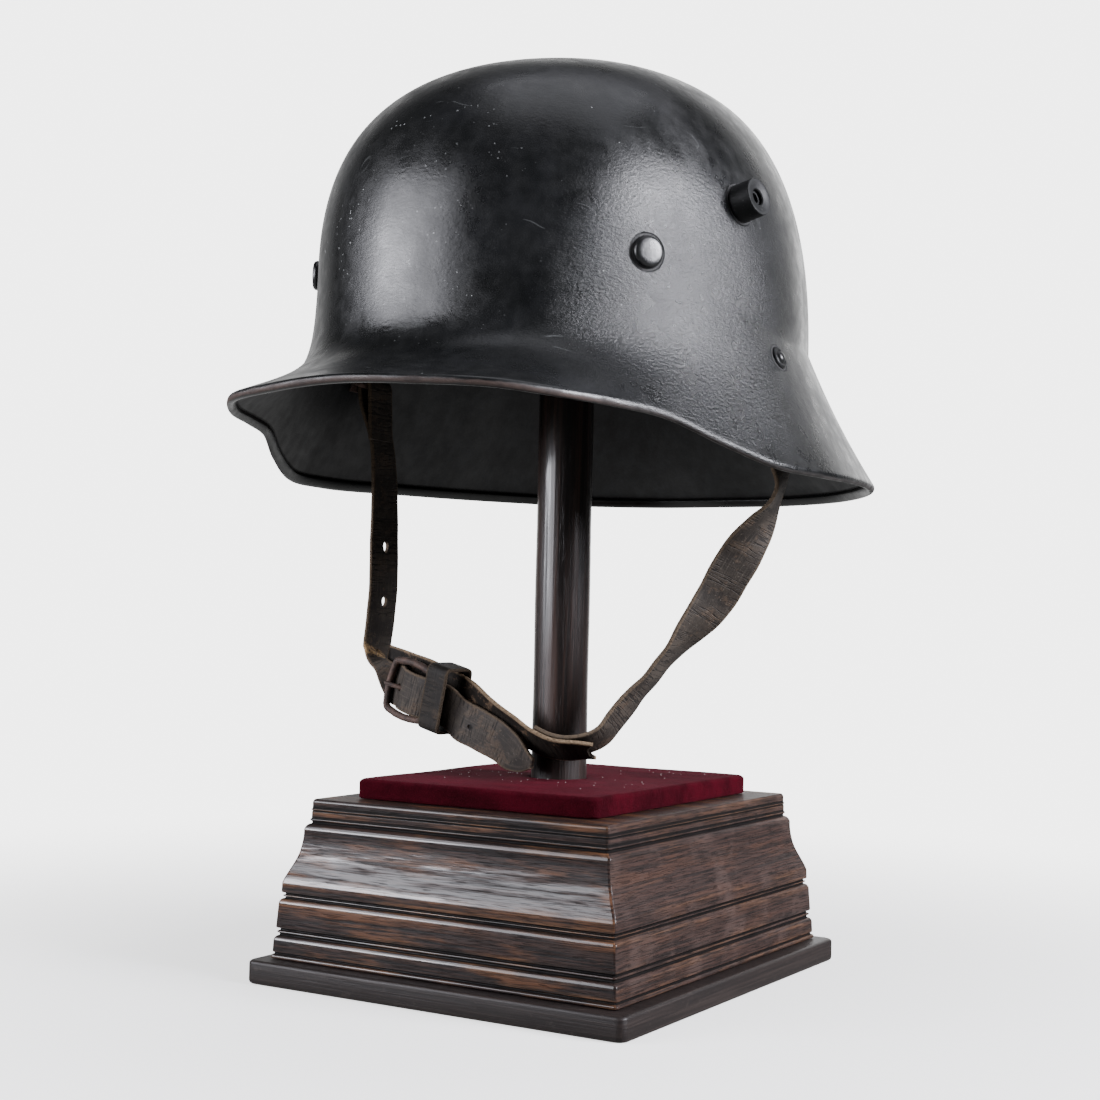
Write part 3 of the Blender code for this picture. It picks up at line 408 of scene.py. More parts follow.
def smooth(mesh, finish, sharp, merge=False):
    """Turn a mesh's faces outwards, paint it, and keep its corners above an angle sharp."""
    work = bmesh.new()
    work.from_mesh(mesh)
    if merge:
        bmesh.ops.remove_doubles(work, verts=work.verts, dist=1e-6)
    bmesh.ops.recalc_face_normals(work, faces=work.faces)
    work.to_mesh(mesh)
    work.free()
    mesh.materials.clear()
    mesh.materials.append(finish.material)
    mesh.shade_smooth()
    mesh.set_sharp_from_angle(angle=math.radians(sharp))
    return mesh


def make_piece(name, points, faces, finish, sharp=40.0):
    """Object of a closed mesh given in millimetres."""
    mesh = bpy.data.meshes.new(name)
    mesh.from_pydata((np.asarray(points, float) * MM).tolist(), [], faces)
    return placed(name, smooth(mesh, finish, sharp))


def note(thing, name, values):
    """Number of each point that the finish reads."""
    layer = thing.data.attributes.new(name, "FLOAT", "POINT")
    layer.data.foreach_set("value", np.asarray(values, np.float32))


def dress(thing, slot, *nodes):
    """The piece rides on the object and stands for its solids, where it has any."""
    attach(thing, "root")
    if nodes:
        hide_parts(*nodes)


def paint_black(name, shell=False, dull=0.0, shine=0.5):
    """Old black paint on steel, with its wear; on the shell also the wear of its places, painted
    shade round its fittings and a darker line along its hem's seam.
    """
    paint = new_finish(name, Specular_IOR_Level=shine)
    place = paint.place()
    cloudy = paint.noise(place, 22.0, 4.0, 0.6)
    patchy = paint.noise(place, (60, 60, 34), 3.0, 0.5, shift=(3, 1, 2))
    paint.ground(cloudy.step(0.35, 0.7), *PAINT)
    peel = paint.noise(place, 620.0, 3.0, 0.55)
    brushed = paint.noise(place, (420, 420, 900), 4.0, 0.6, turn=(0.3, 0.2, 0.4))
    height = peel * 0.000055 + brushed * 0.00006
    speckled = paint.noise(place, 190.0, 1.5, 0.5).step(0.25, 0.75)
    rough = 0.225 + dull + patchy.step(0.25, 0.8) * 0.12 + speckled * 0.09
    if not shell:
        paint.over(paint.noise(place, 900.0, 2.0, 0.6).step(0.68, 0.74) * 0.5, (0.10, 0.10, 0.095))
        return paint.done(height, Roughness=rough)
    rim, inside = paint.attribute("rim"), paint.attribute("inside")
    outside = 1.0 - inside

    # Wrinkled, worn paint at the left temple and a dull scuff near the crown
    temple = place.away_from((0.088, -0.055, 0.255)).step(0.090, 0.03) * outside
    wrinkles = paint.noise(place, (560, 560, 950), 5.0, 0.7, turn=(0.5, 0.1, 0.0))
    height = height + wrinkles * temple * 0.00040
    scuff = place.away_from((0.0751, -0.0500, 0.3373)).step(0.026, 0.006) * outside
    scuff = scuff * patchy.step(0.34, 0.70)
    paint.over(scuff * 0.15, (0.030, 0.029, 0.030))
    rough = rough + scuff * 0.10

    # Small chips down to grey primer, mostly on the front right
    def chips(scale, reach, share, where):
        cell, pick = (paint.node("TexVoronoi", {}, {"Vector": place, "Scale": scale}, output)
                      for output in ("Distance", "Color"))
        cell = cell + (speckled - 0.5) * reach * 0.7
        chosen = pick.axis("X").step(1.0 - share, 1.0 - share + 0.01)
        return cell.step(reach, reach * 0.75) * chosen * where * outside

    front = place.away_from((-0.010, -0.116, 0.300)).step(0.075, 0.015)
    groups = paint.noise(place, 60.0, 3.0, 0.6).step(0.46, 0.58)
    flakes = chips(430.0, 0.17, 0.16, front * groups).most(chips(800.0, 0.28, 0.07, front * groups))
    flakes = flakes.most(chips(560.0, 0.18, 0.030, groups))
    flakes = flakes * (0.35 + patchy.step(0.4, 0.6) * 0.65)
    paint.over(flakes * 0.8, PRIMER)
    rough = rough + flakes * 0.12

    # Hair scratches: thin contours of a stretched noise, broken up by another one
    def scratches(stretch, turn, where):
        line = (paint.noise(place, stretch, 1.0, 0.4, turn=turn) - 0.5).size()
        return line.step(0.004, 0.001) * where * outside

    broken = paint.noise(place, 55.0, 2.0, 0.5)
    marks = scratches((20, 20, 60), (0.9, 0.4, 0.2), broken.step(0.60, 0.66))
    marks = marks.most(scratches((9, 70, 30), (0.1, 0.6, 0.5), broken.step(0.40, 0.33) * front))
    paint.over(marks * 0.35, (0.10, 0.105, 0.105))
    paint.over(cloudy.step(0.40, 0.70) * outside * 0.3, DUST)
    rough = rough + marks * 0.1

    # Edge worn through to brown, tarnished steel, brownest on the visor
    uneven = paint.noise(place, 130.0, 4.0, 0.6)
    worn = (rim + (uneven * 2.6 - 1.3)).step(1.5, 0.4)
    bare = paint.mix(place.axis("Y").step(-0.095, -0.125),
                     paint.mix(uneven.step(0.35, 0.65), *BARE),
                     paint.mix(uneven.step(0.3, 0.6), *RUSTY))
    paint.over(worn * 0.92, bare)
    rough = rough + worn * 0.34

    # Painted shade in a recess ring round each fitting, and a darker line along the seam of the hem
    # inside
    groove = None
    for seats, radius in ((RIVET_SEATS, RIVET_RADIUS), (VENT_SEATS, VENT_COLLAR),
                          (LUG_SEATS, LUG_DOME)):
        for where in seats:
            away = place.away_from(tuple(seat(*where)[0] * MM)) / MM
            ring = (away - (radius + 0.6)).size().step(1.0, 0.2)
            groove = ring if groove is None else groove.most(ring)
    # painted shade: the ring round each fitting is coloured dark for the shade in its recess; the
    # hem's seam line is only darker
    ring_shade_and_seam = groove.most((rim - 7.4).size().step(1.0, 0.3) * inside)
    paint.over(ring_shade_and_seam * 0.85, RING_SHADE_AND_SEAM)
    rough = rough + ring_shade_and_seam * 0.3
    height = height - groove * 0.00035

    # The inside is duller and runs in faint upright streaks
    streaks = paint.noise(place, (150, 150, 9), 5.0, 0.6)
    deep = inside * rim.step(7.0, 8.5)
    paint.over(deep, paint.mix(streaks.step(0.35, 0.72), *PAINT_INSIDE))
    return paint.done(height + deep * streaks * 0.00012, Metallic=worn * 0.1,
                      Roughness=rough + deep * (0.14 + streaks * 0.14))


rings, middle = shell_rings()
n, loops = SHELL_STATIONS, len(rings) - 2
points = np.concatenate([rings[0][:1], *rings[1:-1], rings[-1][:1]])
end = len(points) - 1
faces = [(0, 1 + (s + 1) % n, 1 + s) for s in range(n)] + between(loops, n, first=1)
faces += [(end - n + s, end - n + (s + 1) % n, end) for s in range(n)]
shell = make_piece("painted_shell", points, faces, paint_black("worn_black_paint", True), 50.0)
steps = np.linalg.norm(np.diff(np.array(rings), axis=0), axis=2)
run = np.concatenate([np.zeros((1, n)), np.cumsum(steps, axis=0)])
from_edge = np.minimum(np.abs(run - run[middle + 5]), FAR_FROM_EDGE)[1:-1]
note(shell, "rim", np.concatenate([[FAR_FROM_EDGE], from_edge.ravel(), [FAR_FROM_EDGE]]))
face = np.repeat([0.0] * (middle + 4) + [0.5] + [1.0] * (loops - middle - 5), n)
note(shell, "inside", np.concatenate([[0.0], face, [1.0]]))
dress(shell, "black_paint", "shell")


# ---------------------------------------------------------------- rivets and vents
# Three flat rivets once held the lining's band; two hollow lugs air the helmet.
# Geometry Nodes set one fitting, turned on a lathe, on each of its seats.

BACK_GAP = 0.9
TAIL = -STEEL - BACK_GAP        # where a fitting's tail starts, behind the shell

# Profiles: radius, height above the shell
RIVET = ((0, 2.55), (3.5, 2.5), (4.8, 2.35), (5.4, 2.1), (5.8, 1.65), (6.0, 1.2), (6.1, 0.8),
         (6.0, 0.3), (5.6, 0.1), (2.0, 0.1), (2.0, TAIL), (3.6, TAIL), (3.5, TAIL - 0.5),
         (3.1, TAIL - 0.9), (2.0, TAIL - 1.15), (0, TAIL - 1.25))
VENT = ((3.5, 8.7), (5.6, 9.15), (6.8, 9.4), (7.25, 9.35), (7.4, 9.1), (7.45, 8.6), (7.45, 2.0),
        (7.6, 1.4), (7.6, 0.6), (7.3, 0.25), (4.4, 0.3), (4.4, TAIL), (6.0, TAIL),
        (5.9, TAIL - 0.5), (5.5, TAIL - 0.85), (2.5, TAIL - 1.2), (2.3, TAIL - 1.0),
        (2.3, 6.6), (2.45, 6.9), (2.9, 7.0), (3.1, 7.2), (3.15, 8.3))


def turned(profile, steps=64, closed=False):
    """Points and faces of a profile of (radius, height) rows turned about Z."""
    points, at = [], []
    for radius, height in profile:
        turns = [2 * math.pi * k / steps for k in range(steps if radius else 1)]
        at.append([len(points) + k for k in range(len(turns))] * (steps // len(turns)))
        points += [(radius * math.cos(a), radius * math.sin(a), height) for a in turns]
    faces = [tuple(dict.fromkeys((a[k], a[(k + 1) % steps], b[(k + 1) % steps], b[k])))
             for a, b in zip(at, at[1:] + (at[:1] if closed else [])) for k in range(steps)]
    return points, faces


def new_tree(name, **inputs):
    """Geometry Nodes with named inputs, and the way to add a node and get its outputs."""
    tree = bpy.data.node_groups.new(name, "GeometryNodeTree")
    for label, kind in (("Geometry", "Geometry"), *inputs.items()):
        tree.interface.new_socket(label, in_out="INPUT", socket_type="NodeSocket" + kind)
    tree.interface.new_socket("Geometry", in_out="OUTPUT", socket_type="NodeSocketGeometry")

    def add(kind, settings=(), **sockets):
        made = tree.nodes.new(kind)
        for key, value in dict(settings).items():
            setattr(made, key, value)
        for key, value in sockets.items():
            if isinstance(value, bpy.types.NodeSocket):
                tree.links.new(value, made.inputs[key])
            else:
                made.inputs[key].default_value = value
        return made.outputs
    return tree, add


def made_real(add, instances, material):
    """The end of a tree: instances made real and painted."""
    real = add("GeometryNodeRealizeInstances", Geometry=instances["Instances"])
    coat = add("GeometryNodeSetMaterial", Geometry=real["Geometry"], Material=material)
    add("NodeGroupOutput", Geometry=coat["Geometry"])


def settled(thing):
    """Plain mesh of an object as its modifiers or its curve leave it."""
    bpy.context.view_layer.update()
    graph = bpy.context.evaluated_depsgraph_get()
    return bpy.data.meshes.new_from_object(thing.evaluated_get(graph))


def grown(name, seed_mesh, tree, **values):
    """Run a tree on a mesh and keep its result as a plain piece."""
    thing = placed(name + "_seed", seed_mesh)
    modifier = thing.modifiers.new(name, "NODES")
    modifier.node_group = tree
    for item in tree.interface.items_tree:
        if item.in_out == "INPUT" and item.name in values:
            modifier[item.identifier] = values[item.name]
    mesh = settled(thing)
    mesh.name = name
    bpy.data.objects.remove(thing)
    return placed(name, mesh)


def set_fittings(name, seats, profile, finish, closed=False):
    """One turned fitting on each of its seats on the shell, as one mesh."""
    pattern = make_piece(name + "_pattern", *turned(profile, closed=closed), finish, 30.0)
    frames = [seat(*where) for where in seats]
    points = bpy.data.meshes.new(name + "_points")
    points.from_pydata([tuple(f[0] * MM) for f in frames], [], [])
    facing = points.attributes.new("facing", "FLOAT_VECTOR", "POINT")
    facing.data.foreach_set("vector", np.array([f[3] for f in frames], np.float32).ravel())
    made = grown(name, points, fitting_tree, Fitting=pattern, Size=1.0, Paint=finish.material)
    bpy.data.objects.remove(pattern)
    return made


fitting_tree, add = new_tree("set_fittings", Fitting="Object", Size="Float", Paint="Material")
given = add("NodeGroupInput")
facing = add("GeometryNodeInputNamedAttribute", {"data_type": "FLOAT_VECTOR"}, Name="facing")
align = add("FunctionNodeAlignRotationToVector", {"axis": "Z"}, Vector=facing["Attribute"])
pattern = add("GeometryNodeObjectInfo", Object=given["Fitting"])
made_real(add, add("GeometryNodeInstanceOnPoints", Points=given["Geometry"],
                   Instance=pattern["Geometry"], Rotation=align["Rotation"],
                   Scale=given["Size"]), given["Paint"])

fitting_paint = paint_black("fitting_paint")
dress(set_fittings("flat_rivets", RIVET_SEATS, RIVET, fitting_paint), "black_paint",
      "rivet_front_left", "rivet_front_right", "rivet_rear")
vent_paint = paint_black("vent_paint", dull=0.22, shine=0.28)
dress(set_fittings("vent_lugs", VENT_SEATS, VENT, vent_paint, closed=True), "black_paint",
      "vent_lug_left", "vent_lug_right")


# ---------------------------------------------------------------- chin strap
# Brown leather cut in strips 18 mm wide, grey with age, cracked, its cut edges paler.
# It hangs over the bars of the two lugs; the right half runs through buckle and keeper.

STRAP_WIDTH, STRAP_THICK = 18.0, 1.8
TAB_LENGTH = 24.0
GAP = 0.3
LUG_PLATE_THICK = 1.2
LUG_BAR_RADIUS, LUG_BAR_LENGTH = 1.3, 24.6
BAR_DEPTH = TAIL - LUG_PLATE_THICK - GAP - STRAP_THICK - GAP - LUG_BAR_RADIUS
STRIP_BITE_RADIUS, STRIP_BITE_DEPTH = 15.0, 3.5

# Strip behind the buckle: x, y, z, turn of the width line from lying front to back
GUARD = (
    (-87.0, -6.5, 126.0, 87), (-71.0, -9.0, 122.5, 88), (-58.5, -11.0, 119.4, 90),
    (-46.5, -13.0, 116.0, 93), (-34.5, -15.0, 112.0, 108), (-22.5, -17.0, 107.0, 127),
    (-7.5, -20.1, 101.0, 135), (4.0, -22.3, 96.5, 141), (15.0, -22.7, 94.7, 150),
    (22.5, -20.5, 94.9, 155), (28.0, -18.0, 94.6, 157),
)

# Wearer's-left strap on its way down to the strip, same columns
LEFT_STRAP = (
    (98.0, 1.5, 215.0, 4), (97.7, 4.8, 205.0, -13), (93.5, 6.3, 196.0, -10),
    (88.9, 4.9, 187.5, 15), (84.7, 3.7, 181.0, 33), (80.1, 3.7, 174.0, 47),
    (75.5, 3.4, 166.5, 47), (71.2, 3.5, 159.5, 43), (66.5, 2.1, 152.0, 34),
    (60.8, 0.5, 144.5, 19), (54.5, -0.1, 137.0, 2), (48.8, -1.6, 130.5, -3),
    (43.9, -3.2, 123.6, -3), (40.0, -5.2, 119.0, -1), (36.7, -7.5, 114.0, 2),
    (32.4, -10.9, 107.0, 2), (29.0, -14.5, 101.0, 0),
)

# Wearer's-right strap down to its crease, same columns
RIGHT_STRAP = (
    (-94.2, -3.9, 226.0, -4), (-93.6, -2.2, 213.0, -1), (-93.5, -1.4, 198.0, 2),
    (-93.4, -1.0, 176.0, 6), (-93.4, -1.0, 160.0, 6), (-94.6, -1.1, 144.0, 6),
    (-95.4, -1.8, 134.0, 5),
)

# Its crease and twist: front edge, then rear edge
TWIST_STRAP = np.array((
    ((-95.0, -11.5, 132.6), (-91.2, 0.5, 127.2)),
    ((-87.2, -13.9, 123.1), (-82.1, -9.9, 127.8)),
))

# Behind the buckle's near bar and over its far bar: distance from its middle, rise outwards
THROUGH_BUCKLE = ((-11.4, -2.9), (-6.5, -1.2), (-1.5, 2.6), (4.0, 4.5), (11.4, 5.0))

# Through the keeper: distance from its middle, rise above and lift off the strip
THROUGH_KEEPER = ((-3.0, -5.0, 8.2), (5.0, -5.0, 6.9))

# Its free end: x, y, z, turn, half width below and above the middle line
FREE_STRAP = np.array((
    (-38.0, -19.0, 104.5, 90, 9.0, 9.0), (-26.7, -20.8, 100.5, 93, 9.0, 9.0),
    (-15.6, -22.6, 96.1, 98, 9.0, 8.5), (-7.5, -23.8, 91.3, 102, 8.6, 7.5),
    (-2.0, -24.6, 88.6, 106, 6.4, 4.5), (2.2, -25.2, 86.8, 110, 4.4, 0.6),
))

# Holes in it: distance along it, rise, length, width; the last one has closed again
HOLES = ((104.4, -0.3, 5.2, 4.4), (128.4, -0.6, 5.2, 4.4), (153.5, 0.0, 4.4, 2.4))
CLOSED_HOLE = (230.5, 0.5, 3.4, 2.2)
PRONG_HOLE, PRONG_HOLE_AT = (0.0, 8.4, 3.2), -3.8

BUCKLE_AT, BUCKLE_DROP, BUCKLE_OUT = 22.4, -6.2, 5.3
BUCKLE_LENGTH, BUCKLE_HEIGHT, BUCKLE_WIRE = 26.0, 25.4, 1.6
BAR_REACH = BUCKLE_LENGTH / 2 - BUCKLE_WIRE
CHAPE_THICK, CHAPE_WIDTH, CHAPE_LENGTH = 1.0, 14.0, 13.0
KEEPER_AT, KEEPER_WIDTH, KEEPER_THICK = 43.0, 12.0, 1.6
KEEPER_TOP, KEEPER_BOTTOM, KEEPER_FRONT, KEEPER_SKEW = 10.8, -16.6, 11.8, 4.0
KEEPER_CORNER = 2.2

# Leather from dark to pale, its long grain, what shows where it is worn, cut or split, and the
# painted shade in a closed hole
HIDE = (0.014, 0.0105, 0.0085), (0.046, 0.036, 0.028)
GRAIN, FLECKS, CRACKS = (0.075, 0.062, 0.05), (0.13, 0.11, 0.09), (0.005, 0.004, 0.0035)
BALD, CUT, SPLIT, HOLE_SHADE = ((0.095, 0.062, 0.040), (0.125, 0.088, 0.056), (0.36, 0.23, 0.11),
                          (0.0015, 0.0012, 0.001))


def unit(vectors):
    return vectors / np.linalg.norm(vectors, axis=-1, keepdims=True)


def spline(rows, per):
    """Smooth curve through rows that start with x, y, z, all columns at once."""
    rows = np.array(rows, float)
    step = np.linalg.norm(np.diff(rows[:, :3], axis=0), axis=1)[:, None]
    slope, inner = slopes(rows, step)
    tangent = np.concatenate([slope[:1], inner, slope[-1:]])
    out = [hermite(u, step[i], rows[i], tangent[i], rows[i + 1], tangent[i + 1])
           for i in range(len(rows) - 1) for u in np.arange(per) / per]
    return np.array([*out, rows[-1]])


def stations(rows):
    """Centres and width directions of a table with columns x, y, z, turn."""
    rows = np.array(rows, float)
    centre = rows[:, :3]
    forward = unit(np.gradient(centre, axis=0))
    back = np.array([0.0, 1.0, 0.0])
    level = unit(back - forward * (forward @ back)[:, None])
    turn = np.radians(rows[:, 3])[:, None]
    return centre, level * np.cos(turn) + np.cross(forward, level) * np.sin(turn)


class Band:
    """A strap's middle line with its width direction and outward face."""

    def __init__(self, centre, width, per, low=STRAP_WIDTH / 2, high=None):
        width = np.array(width, float)
        for i in range(1, len(centre)):
            if np.dot(width[i], width[i - 1]) < 0:
                width[i] = -width[i]
        half = [np.broadcast_to(side, len(centre)) for side in (low, low if high is None else high)]
        table = np.column_stack([centre, width, *half])
        table = spline(table, per) if per > 1 else table
        self.centre, self.width = table[:, :3], unit(table[:, 3:6])
        self.forward = unit(np.gradient(self.centre, axis=0))
        self.face = unit(np.cross(self.forward, self.width))
        self.low, self.high = np.clip(table[:, 6:8], 0.6, 12.0).T
        self.run = run_along(self.centre)

    def read(self, distance, values):
        return np.column_stack([np.interp(distance, self.run, values[:, k]) for k in range(3)])

    def at(self, distance):
        """Centre, forward, width and face at a distance along the strap."""
        centre, *ways = (self.read([distance], v)[0]
                         for v in (self.centre, self.forward, self.width, self.face))
        return [centre] + [unit(way) for way in ways]

    def near(self, point):
        return self.run[np.argmin(np.linalg.norm(self.centre - point, axis=1))]

    def spot(self, distance, rise=0.0, out=0.0):
        centre, _, width, face = self.at(distance)
        return centre + width * rise + face * out


def leather_section(thick, round_off):
    """Section of a strip: share of the width from -1 to 1, inset from the edge, height."""
    half = thick / 2

    def corner(share, up, turns):
        return [(share, round_off * (1 - math.sin(a)), up * (half - round_off * (1 - math.cos(a))))
                for a in map(math.radians, turns)]

    flat = [(share, round_off * abs(share) ** 6) for share in np.linspace(-1, 1, 15)]
    rows = [(*row, half) for row in flat] + corner(1, 1, (30, 60, 90)) + corner(1, -1, (60, 30, 0))
    rows += [(*row, -half) for row in flat[-2::-1]]
    return np.array(rows + corner(-1, -1, (30, 60, 90)) + corner(-1, 1, (60, 30)))


def cut_strap(name, band, thick, finish, count, closed=False, bite=0.0, wave=0.08):
    """Strip of leather with rounded edges, its ends hollowed by bite where it has one.
    Its UV map holds the distance along it and the distance from its nearest cut edge."""
    section = leather_section(thick, min(0.55, 0.42 * thick))
    n = len(section)
    share, inset, height = section.T
    points, marks = [], []
    for i in range(count):
        place = i / count if closed else i / (count - 1)
        middle = place * band.run[-1]
        low, high = (np.interp(middle, band.run, side) for side in (band.low, band.high))
        ripple = wave * (math.sin(middle * 0.17) + 0.7 * math.sin(middle * 0.41 + 1.0))
        across = np.where(share < 0, share * (low + ripple), share * (high - ripple))
        across = across - np.sign(share) * np.minimum(inset, 0.4 * (low + high))
        start, end = np.zeros(n), np.full(n, band.run[-1])
        if bite:
            hollow = np.sqrt(bite**2 - np.clip(across, -bite, bite)**2)
            hollow = np.clip(hollow - (bite - STRIP_BITE_DEPTH), 0.0, None)
            start, end = start + hollow, end - hollow
        run = start + (end - start) * place
        centre, width, face = (band.read(run, v) for v in (band.centre, band.width, band.face))
        bowed = height * (1 - 0.10 * np.abs(share) ** 3)
        points.append(centre + unit(width) * across[:, None] + unit(face) * bowed[:, None])
        nearest = np.minimum(across + low, high - across)
        marks.append(np.column_stack([run, np.clip(nearest, 0.0, 20.0)]))
    faces = between(count, n, closed)
    if not closed:
        faces += [tuple(range(n)), tuple(range(count * n - 1, count * n - 1 - n, -1))]
    strap = make_piece(name, np.concatenate(points), faces, finish, 50.0)
    corner = np.zeros(len(strap.data.loops), np.int32)
    strap.data.loops.foreach_get("vertex_index", corner)
    layer = strap.data.uv_layers.new(name="strip")
    layer.data.foreach_set("uv", (np.concatenate(marks)[corner] * MM).astype(np.float32).ravel())
    return strap


def cut_out(thing, cutters):
    """Cut closed shapes out of a piece for good."""
    for cutter in cutters:
        modifier = thing.modifiers.new(cutter.name, "BOOLEAN")
        modifier.operation, modifier.solver, modifier.object = "DIFFERENCE", "EXACT", cutter
    mesh = settled(thing)
    thing.modifiers.clear()
    thing.data = mesh
    mesh.set_sharp_from_angle(angle=math.radians(50.0))
    for cutter in cutters:
        bpy.data.objects.remove(cutter)


def awl(band, distance, rise, length, across, finish, drop=0.0, reach=(-3.0, 3.0)):
    """Drop-shaped cutter through a strap: round at its upper end, narrower at the other."""
    centre, forward, width, face = band.at(distance)
    n = 24
    ring = [centre + width * rise + forward * 0.5 * length * math.cos(a)
            + width * 0.5 * across * math.sin(a) * (1.0 - drop * (1 + math.cos(a)) / 2)
            for a in (2 * math.pi * k / n for k in range(n))]
    return make_piece("awl", [p + face * out for out in reach for p in ring],
                      [tuple(range(n)), tuple(range(n, 2 * n))] + between(2, n), finish)


def tan_leather(name, dark=1.0, gloss=0.0, tan=1.0, shine=0.3, hole_shade=None, broken=()):
    """Old leather: dark, dry and finely cracked, paler where it was cut and bent.
    Tan is the strength of its paler places, hole_shade the middle of a closed hole whose depth is
    painted as dark shade, and broken holds the middles of places bent until the grain has split."""
    hide = new_finish(name, Specular_IOR_Level=shine)
    place, strip = hide.place(), hide.laid_out("strip")

    def toned(colour, by=dark):
        return tuple(c * by for c in colour)

    mottle = hide.noise(place, 95.0, 5.0, 0.62)
    fine = hide.noise(place, 850.0, 4.0, 0.65)
    long = hide.noise(strip, (60, 1500, 1), 4.0, 0.6)
    hide.ground(mottle.step(0.32, 0.68), toned(HIDE[0]), toned(HIDE[1]))
    hide.over(long.step(0.5, 0.75) * 0.5, toned(GRAIN))
    creases = (hide.noise(strip, (420, 45, 1), 2.0, 0.5) - 0.5).size()
    creases = creases.step(0.045, 0.005) * mottle.step(0.40, 0.55)
    hide.over(creases * 0.8, CRACKS)
    bald = hide.noise(place, (70, 70, 110), 5.0, 0.7, shift=(1, 4, 2)).step(0.56, 0.62)
    hide.over(bald * fine.step(0.35, 0.55) * 0.55 * tan, BALD)
    rubbed = strip.axis("Y").step(0.0014, 0.0004) * (0.45 + fine.step(0.3, 0.6) * 0.55)
    hide.over(rubbed * 0.8, toned(CUT, tan))
    for middle in broken:
        split = place.away_from(middle).step(0.0042, 0.0018) * fine.step(0.38, 0.56)
        hide.over(split * 0.9, SPLIT)
    # painted shade: the closed hole's middle is coloured dark for the shade in its depth
    if hole_shade is not None:
        hide.over(place.away_from(hole_shade).step(0.0019, 0.0013) * 0.95, HOLE_SHADE)
    hide.over(hide.noise(place, 1300.0, 2.0, 0.5).step(0.66, 0.72) * 0.45, toned(FLECKS))
    height = fine * 0.00012 + mottle * 0.0004 - creases * 0.00018 + long * 0.00006
    return hide.done(height, 0.8, Roughness=0.62 - gloss + mottle * 0.2 + rubbed * 0.15)


def hung_over_bar(side, below):
    """A strap's end: up its tab, over the lug's bar and down towards a point."""
    middle, x, _, z = seat(*LUG_SEATS[0][:2], side)
    bar = middle + z * BAR_DEPTH
    down = unit(np.array(below) - bar)
    down = unit(down - x * (down @ x))
    out = unit(z - down * (z @ down))
    reach = LUG_BAR_RADIUS + GAP + STRAP_THICK / 2
    centre = [bar - out * reach + down * TAB_LENGTH * share for share in (1.0, 0.5, 0.2)]
    for a in (math.radians(degrees) for degrees in range(-90, 91, 30)):
        centre.append(bar + out * reach * math.sin(a) - down * reach * math.cos(a))
    centre.append(bar + out * reach + down * 5.0)
    return np.array(centre), np.array([x] * len(centre))


def rounded(per):
    """Corners of a rounded rectangle: their signs, then directions of per + 1 points each."""
    return [(sx, sy, math.cos(a), math.sin(a))
            for c, (sx, sy) in enumerate(((1, 1), (-1, 1), (-1, -1), (1, -1)))
            for a in (math.radians(90 * c + 90 * k / per) for k in range(per + 1))]


def left_band():
    ends = [guard.run[-1] - d for d in (12.0, 17.0, 22.0, 27.0)]
    end_centre = [guard.spot(d, -1.0, -(STRAP_THICK + 2 * GAP)) for d in ends]
    parts = (hung_over_bar(1.0, LEFT_STRAP[0][:3]), stations(LEFT_STRAP),
             (end_centre, [guard.at(d)[2] for d in ends]))
    return Band(*(np.concatenate(part) for part in zip(*parts)), per=8)


def right_band(per):
    front, rear = TWIST_STRAP.transpose(1, 0, 2)
    buckled = np.array([middle + ahead * a + outwards * out for a, out in THROUGH_BUCKLE])
    kept_at, onwards, up, out_there = guard.at(KEEPER_AT)
    kept = [kept_at + onwards * a + up * rise + out_there * out for a, rise, out in THROUGH_KEEPER]
    parts = (hung_over_bar(-1.0, RIGHT_STRAP[0][:3]), stations(RIGHT_STRAP),
             ((front + rear) / 2, unit(rear - front)), (buckled, [across] * len(buckled)),
             (kept, [up] * len(kept)), stations(FREE_STRAP[:, :4]))
    whole = [STRAP_WIDTH / 2]
    half = whole * (len(parts[0][0]) + len(RIGHT_STRAP))
    half += list(np.linalg.norm(rear - front, axis=1) / 2) + whole * (len(buckled) + len(kept))
    return Band(*(np.concatenate(part) for part in zip(*parts)), per,
                low=[*half, *FREE_STRAP[:, 4]], high=[*half, *FREE_STRAP[:, 5]])


def chape_band():
    """Loop round the buckle's far bar, both ends lying on the strip."""
    bend = BUCKLE_WIRE + GAP + CHAPE_THICK / 2
    on_strip = STRAP_THICK / 2 + 2 * GAP + CHAPE_THICK / 2
    on_back = on_strip + CHAPE_THICK + GAP

    def lying(rows):
        at = BUCKLE_AT + BAR_REACH
        return [(guard.spot(at + ahead, BUCKLE_DROP, out), guard.at(at + ahead)[2])
                for ahead, out in rows]

    rows = lying(((CHAPE_LENGTH, on_strip), (8.0, on_strip), (3.5, on_strip)))
    rows += [(middle + ahead * (BAR_REACH + bend * math.cos(a)) + outwards * bend * math.sin(a),
              across) for a in (math.radians(degrees) for degrees in range(-100, -281, -30))]
    rows.append((middle + ahead * (BAR_REACH + 3.0) + outwards * (bend - 1.2), across))
    rows += lying(((8.5, on_back + 0.4), (CHAPE_LENGTH, on_back)))
    return Band(*(np.array(part) for part in zip(*rows)), 1, CHAPE_WIDTH / 2)


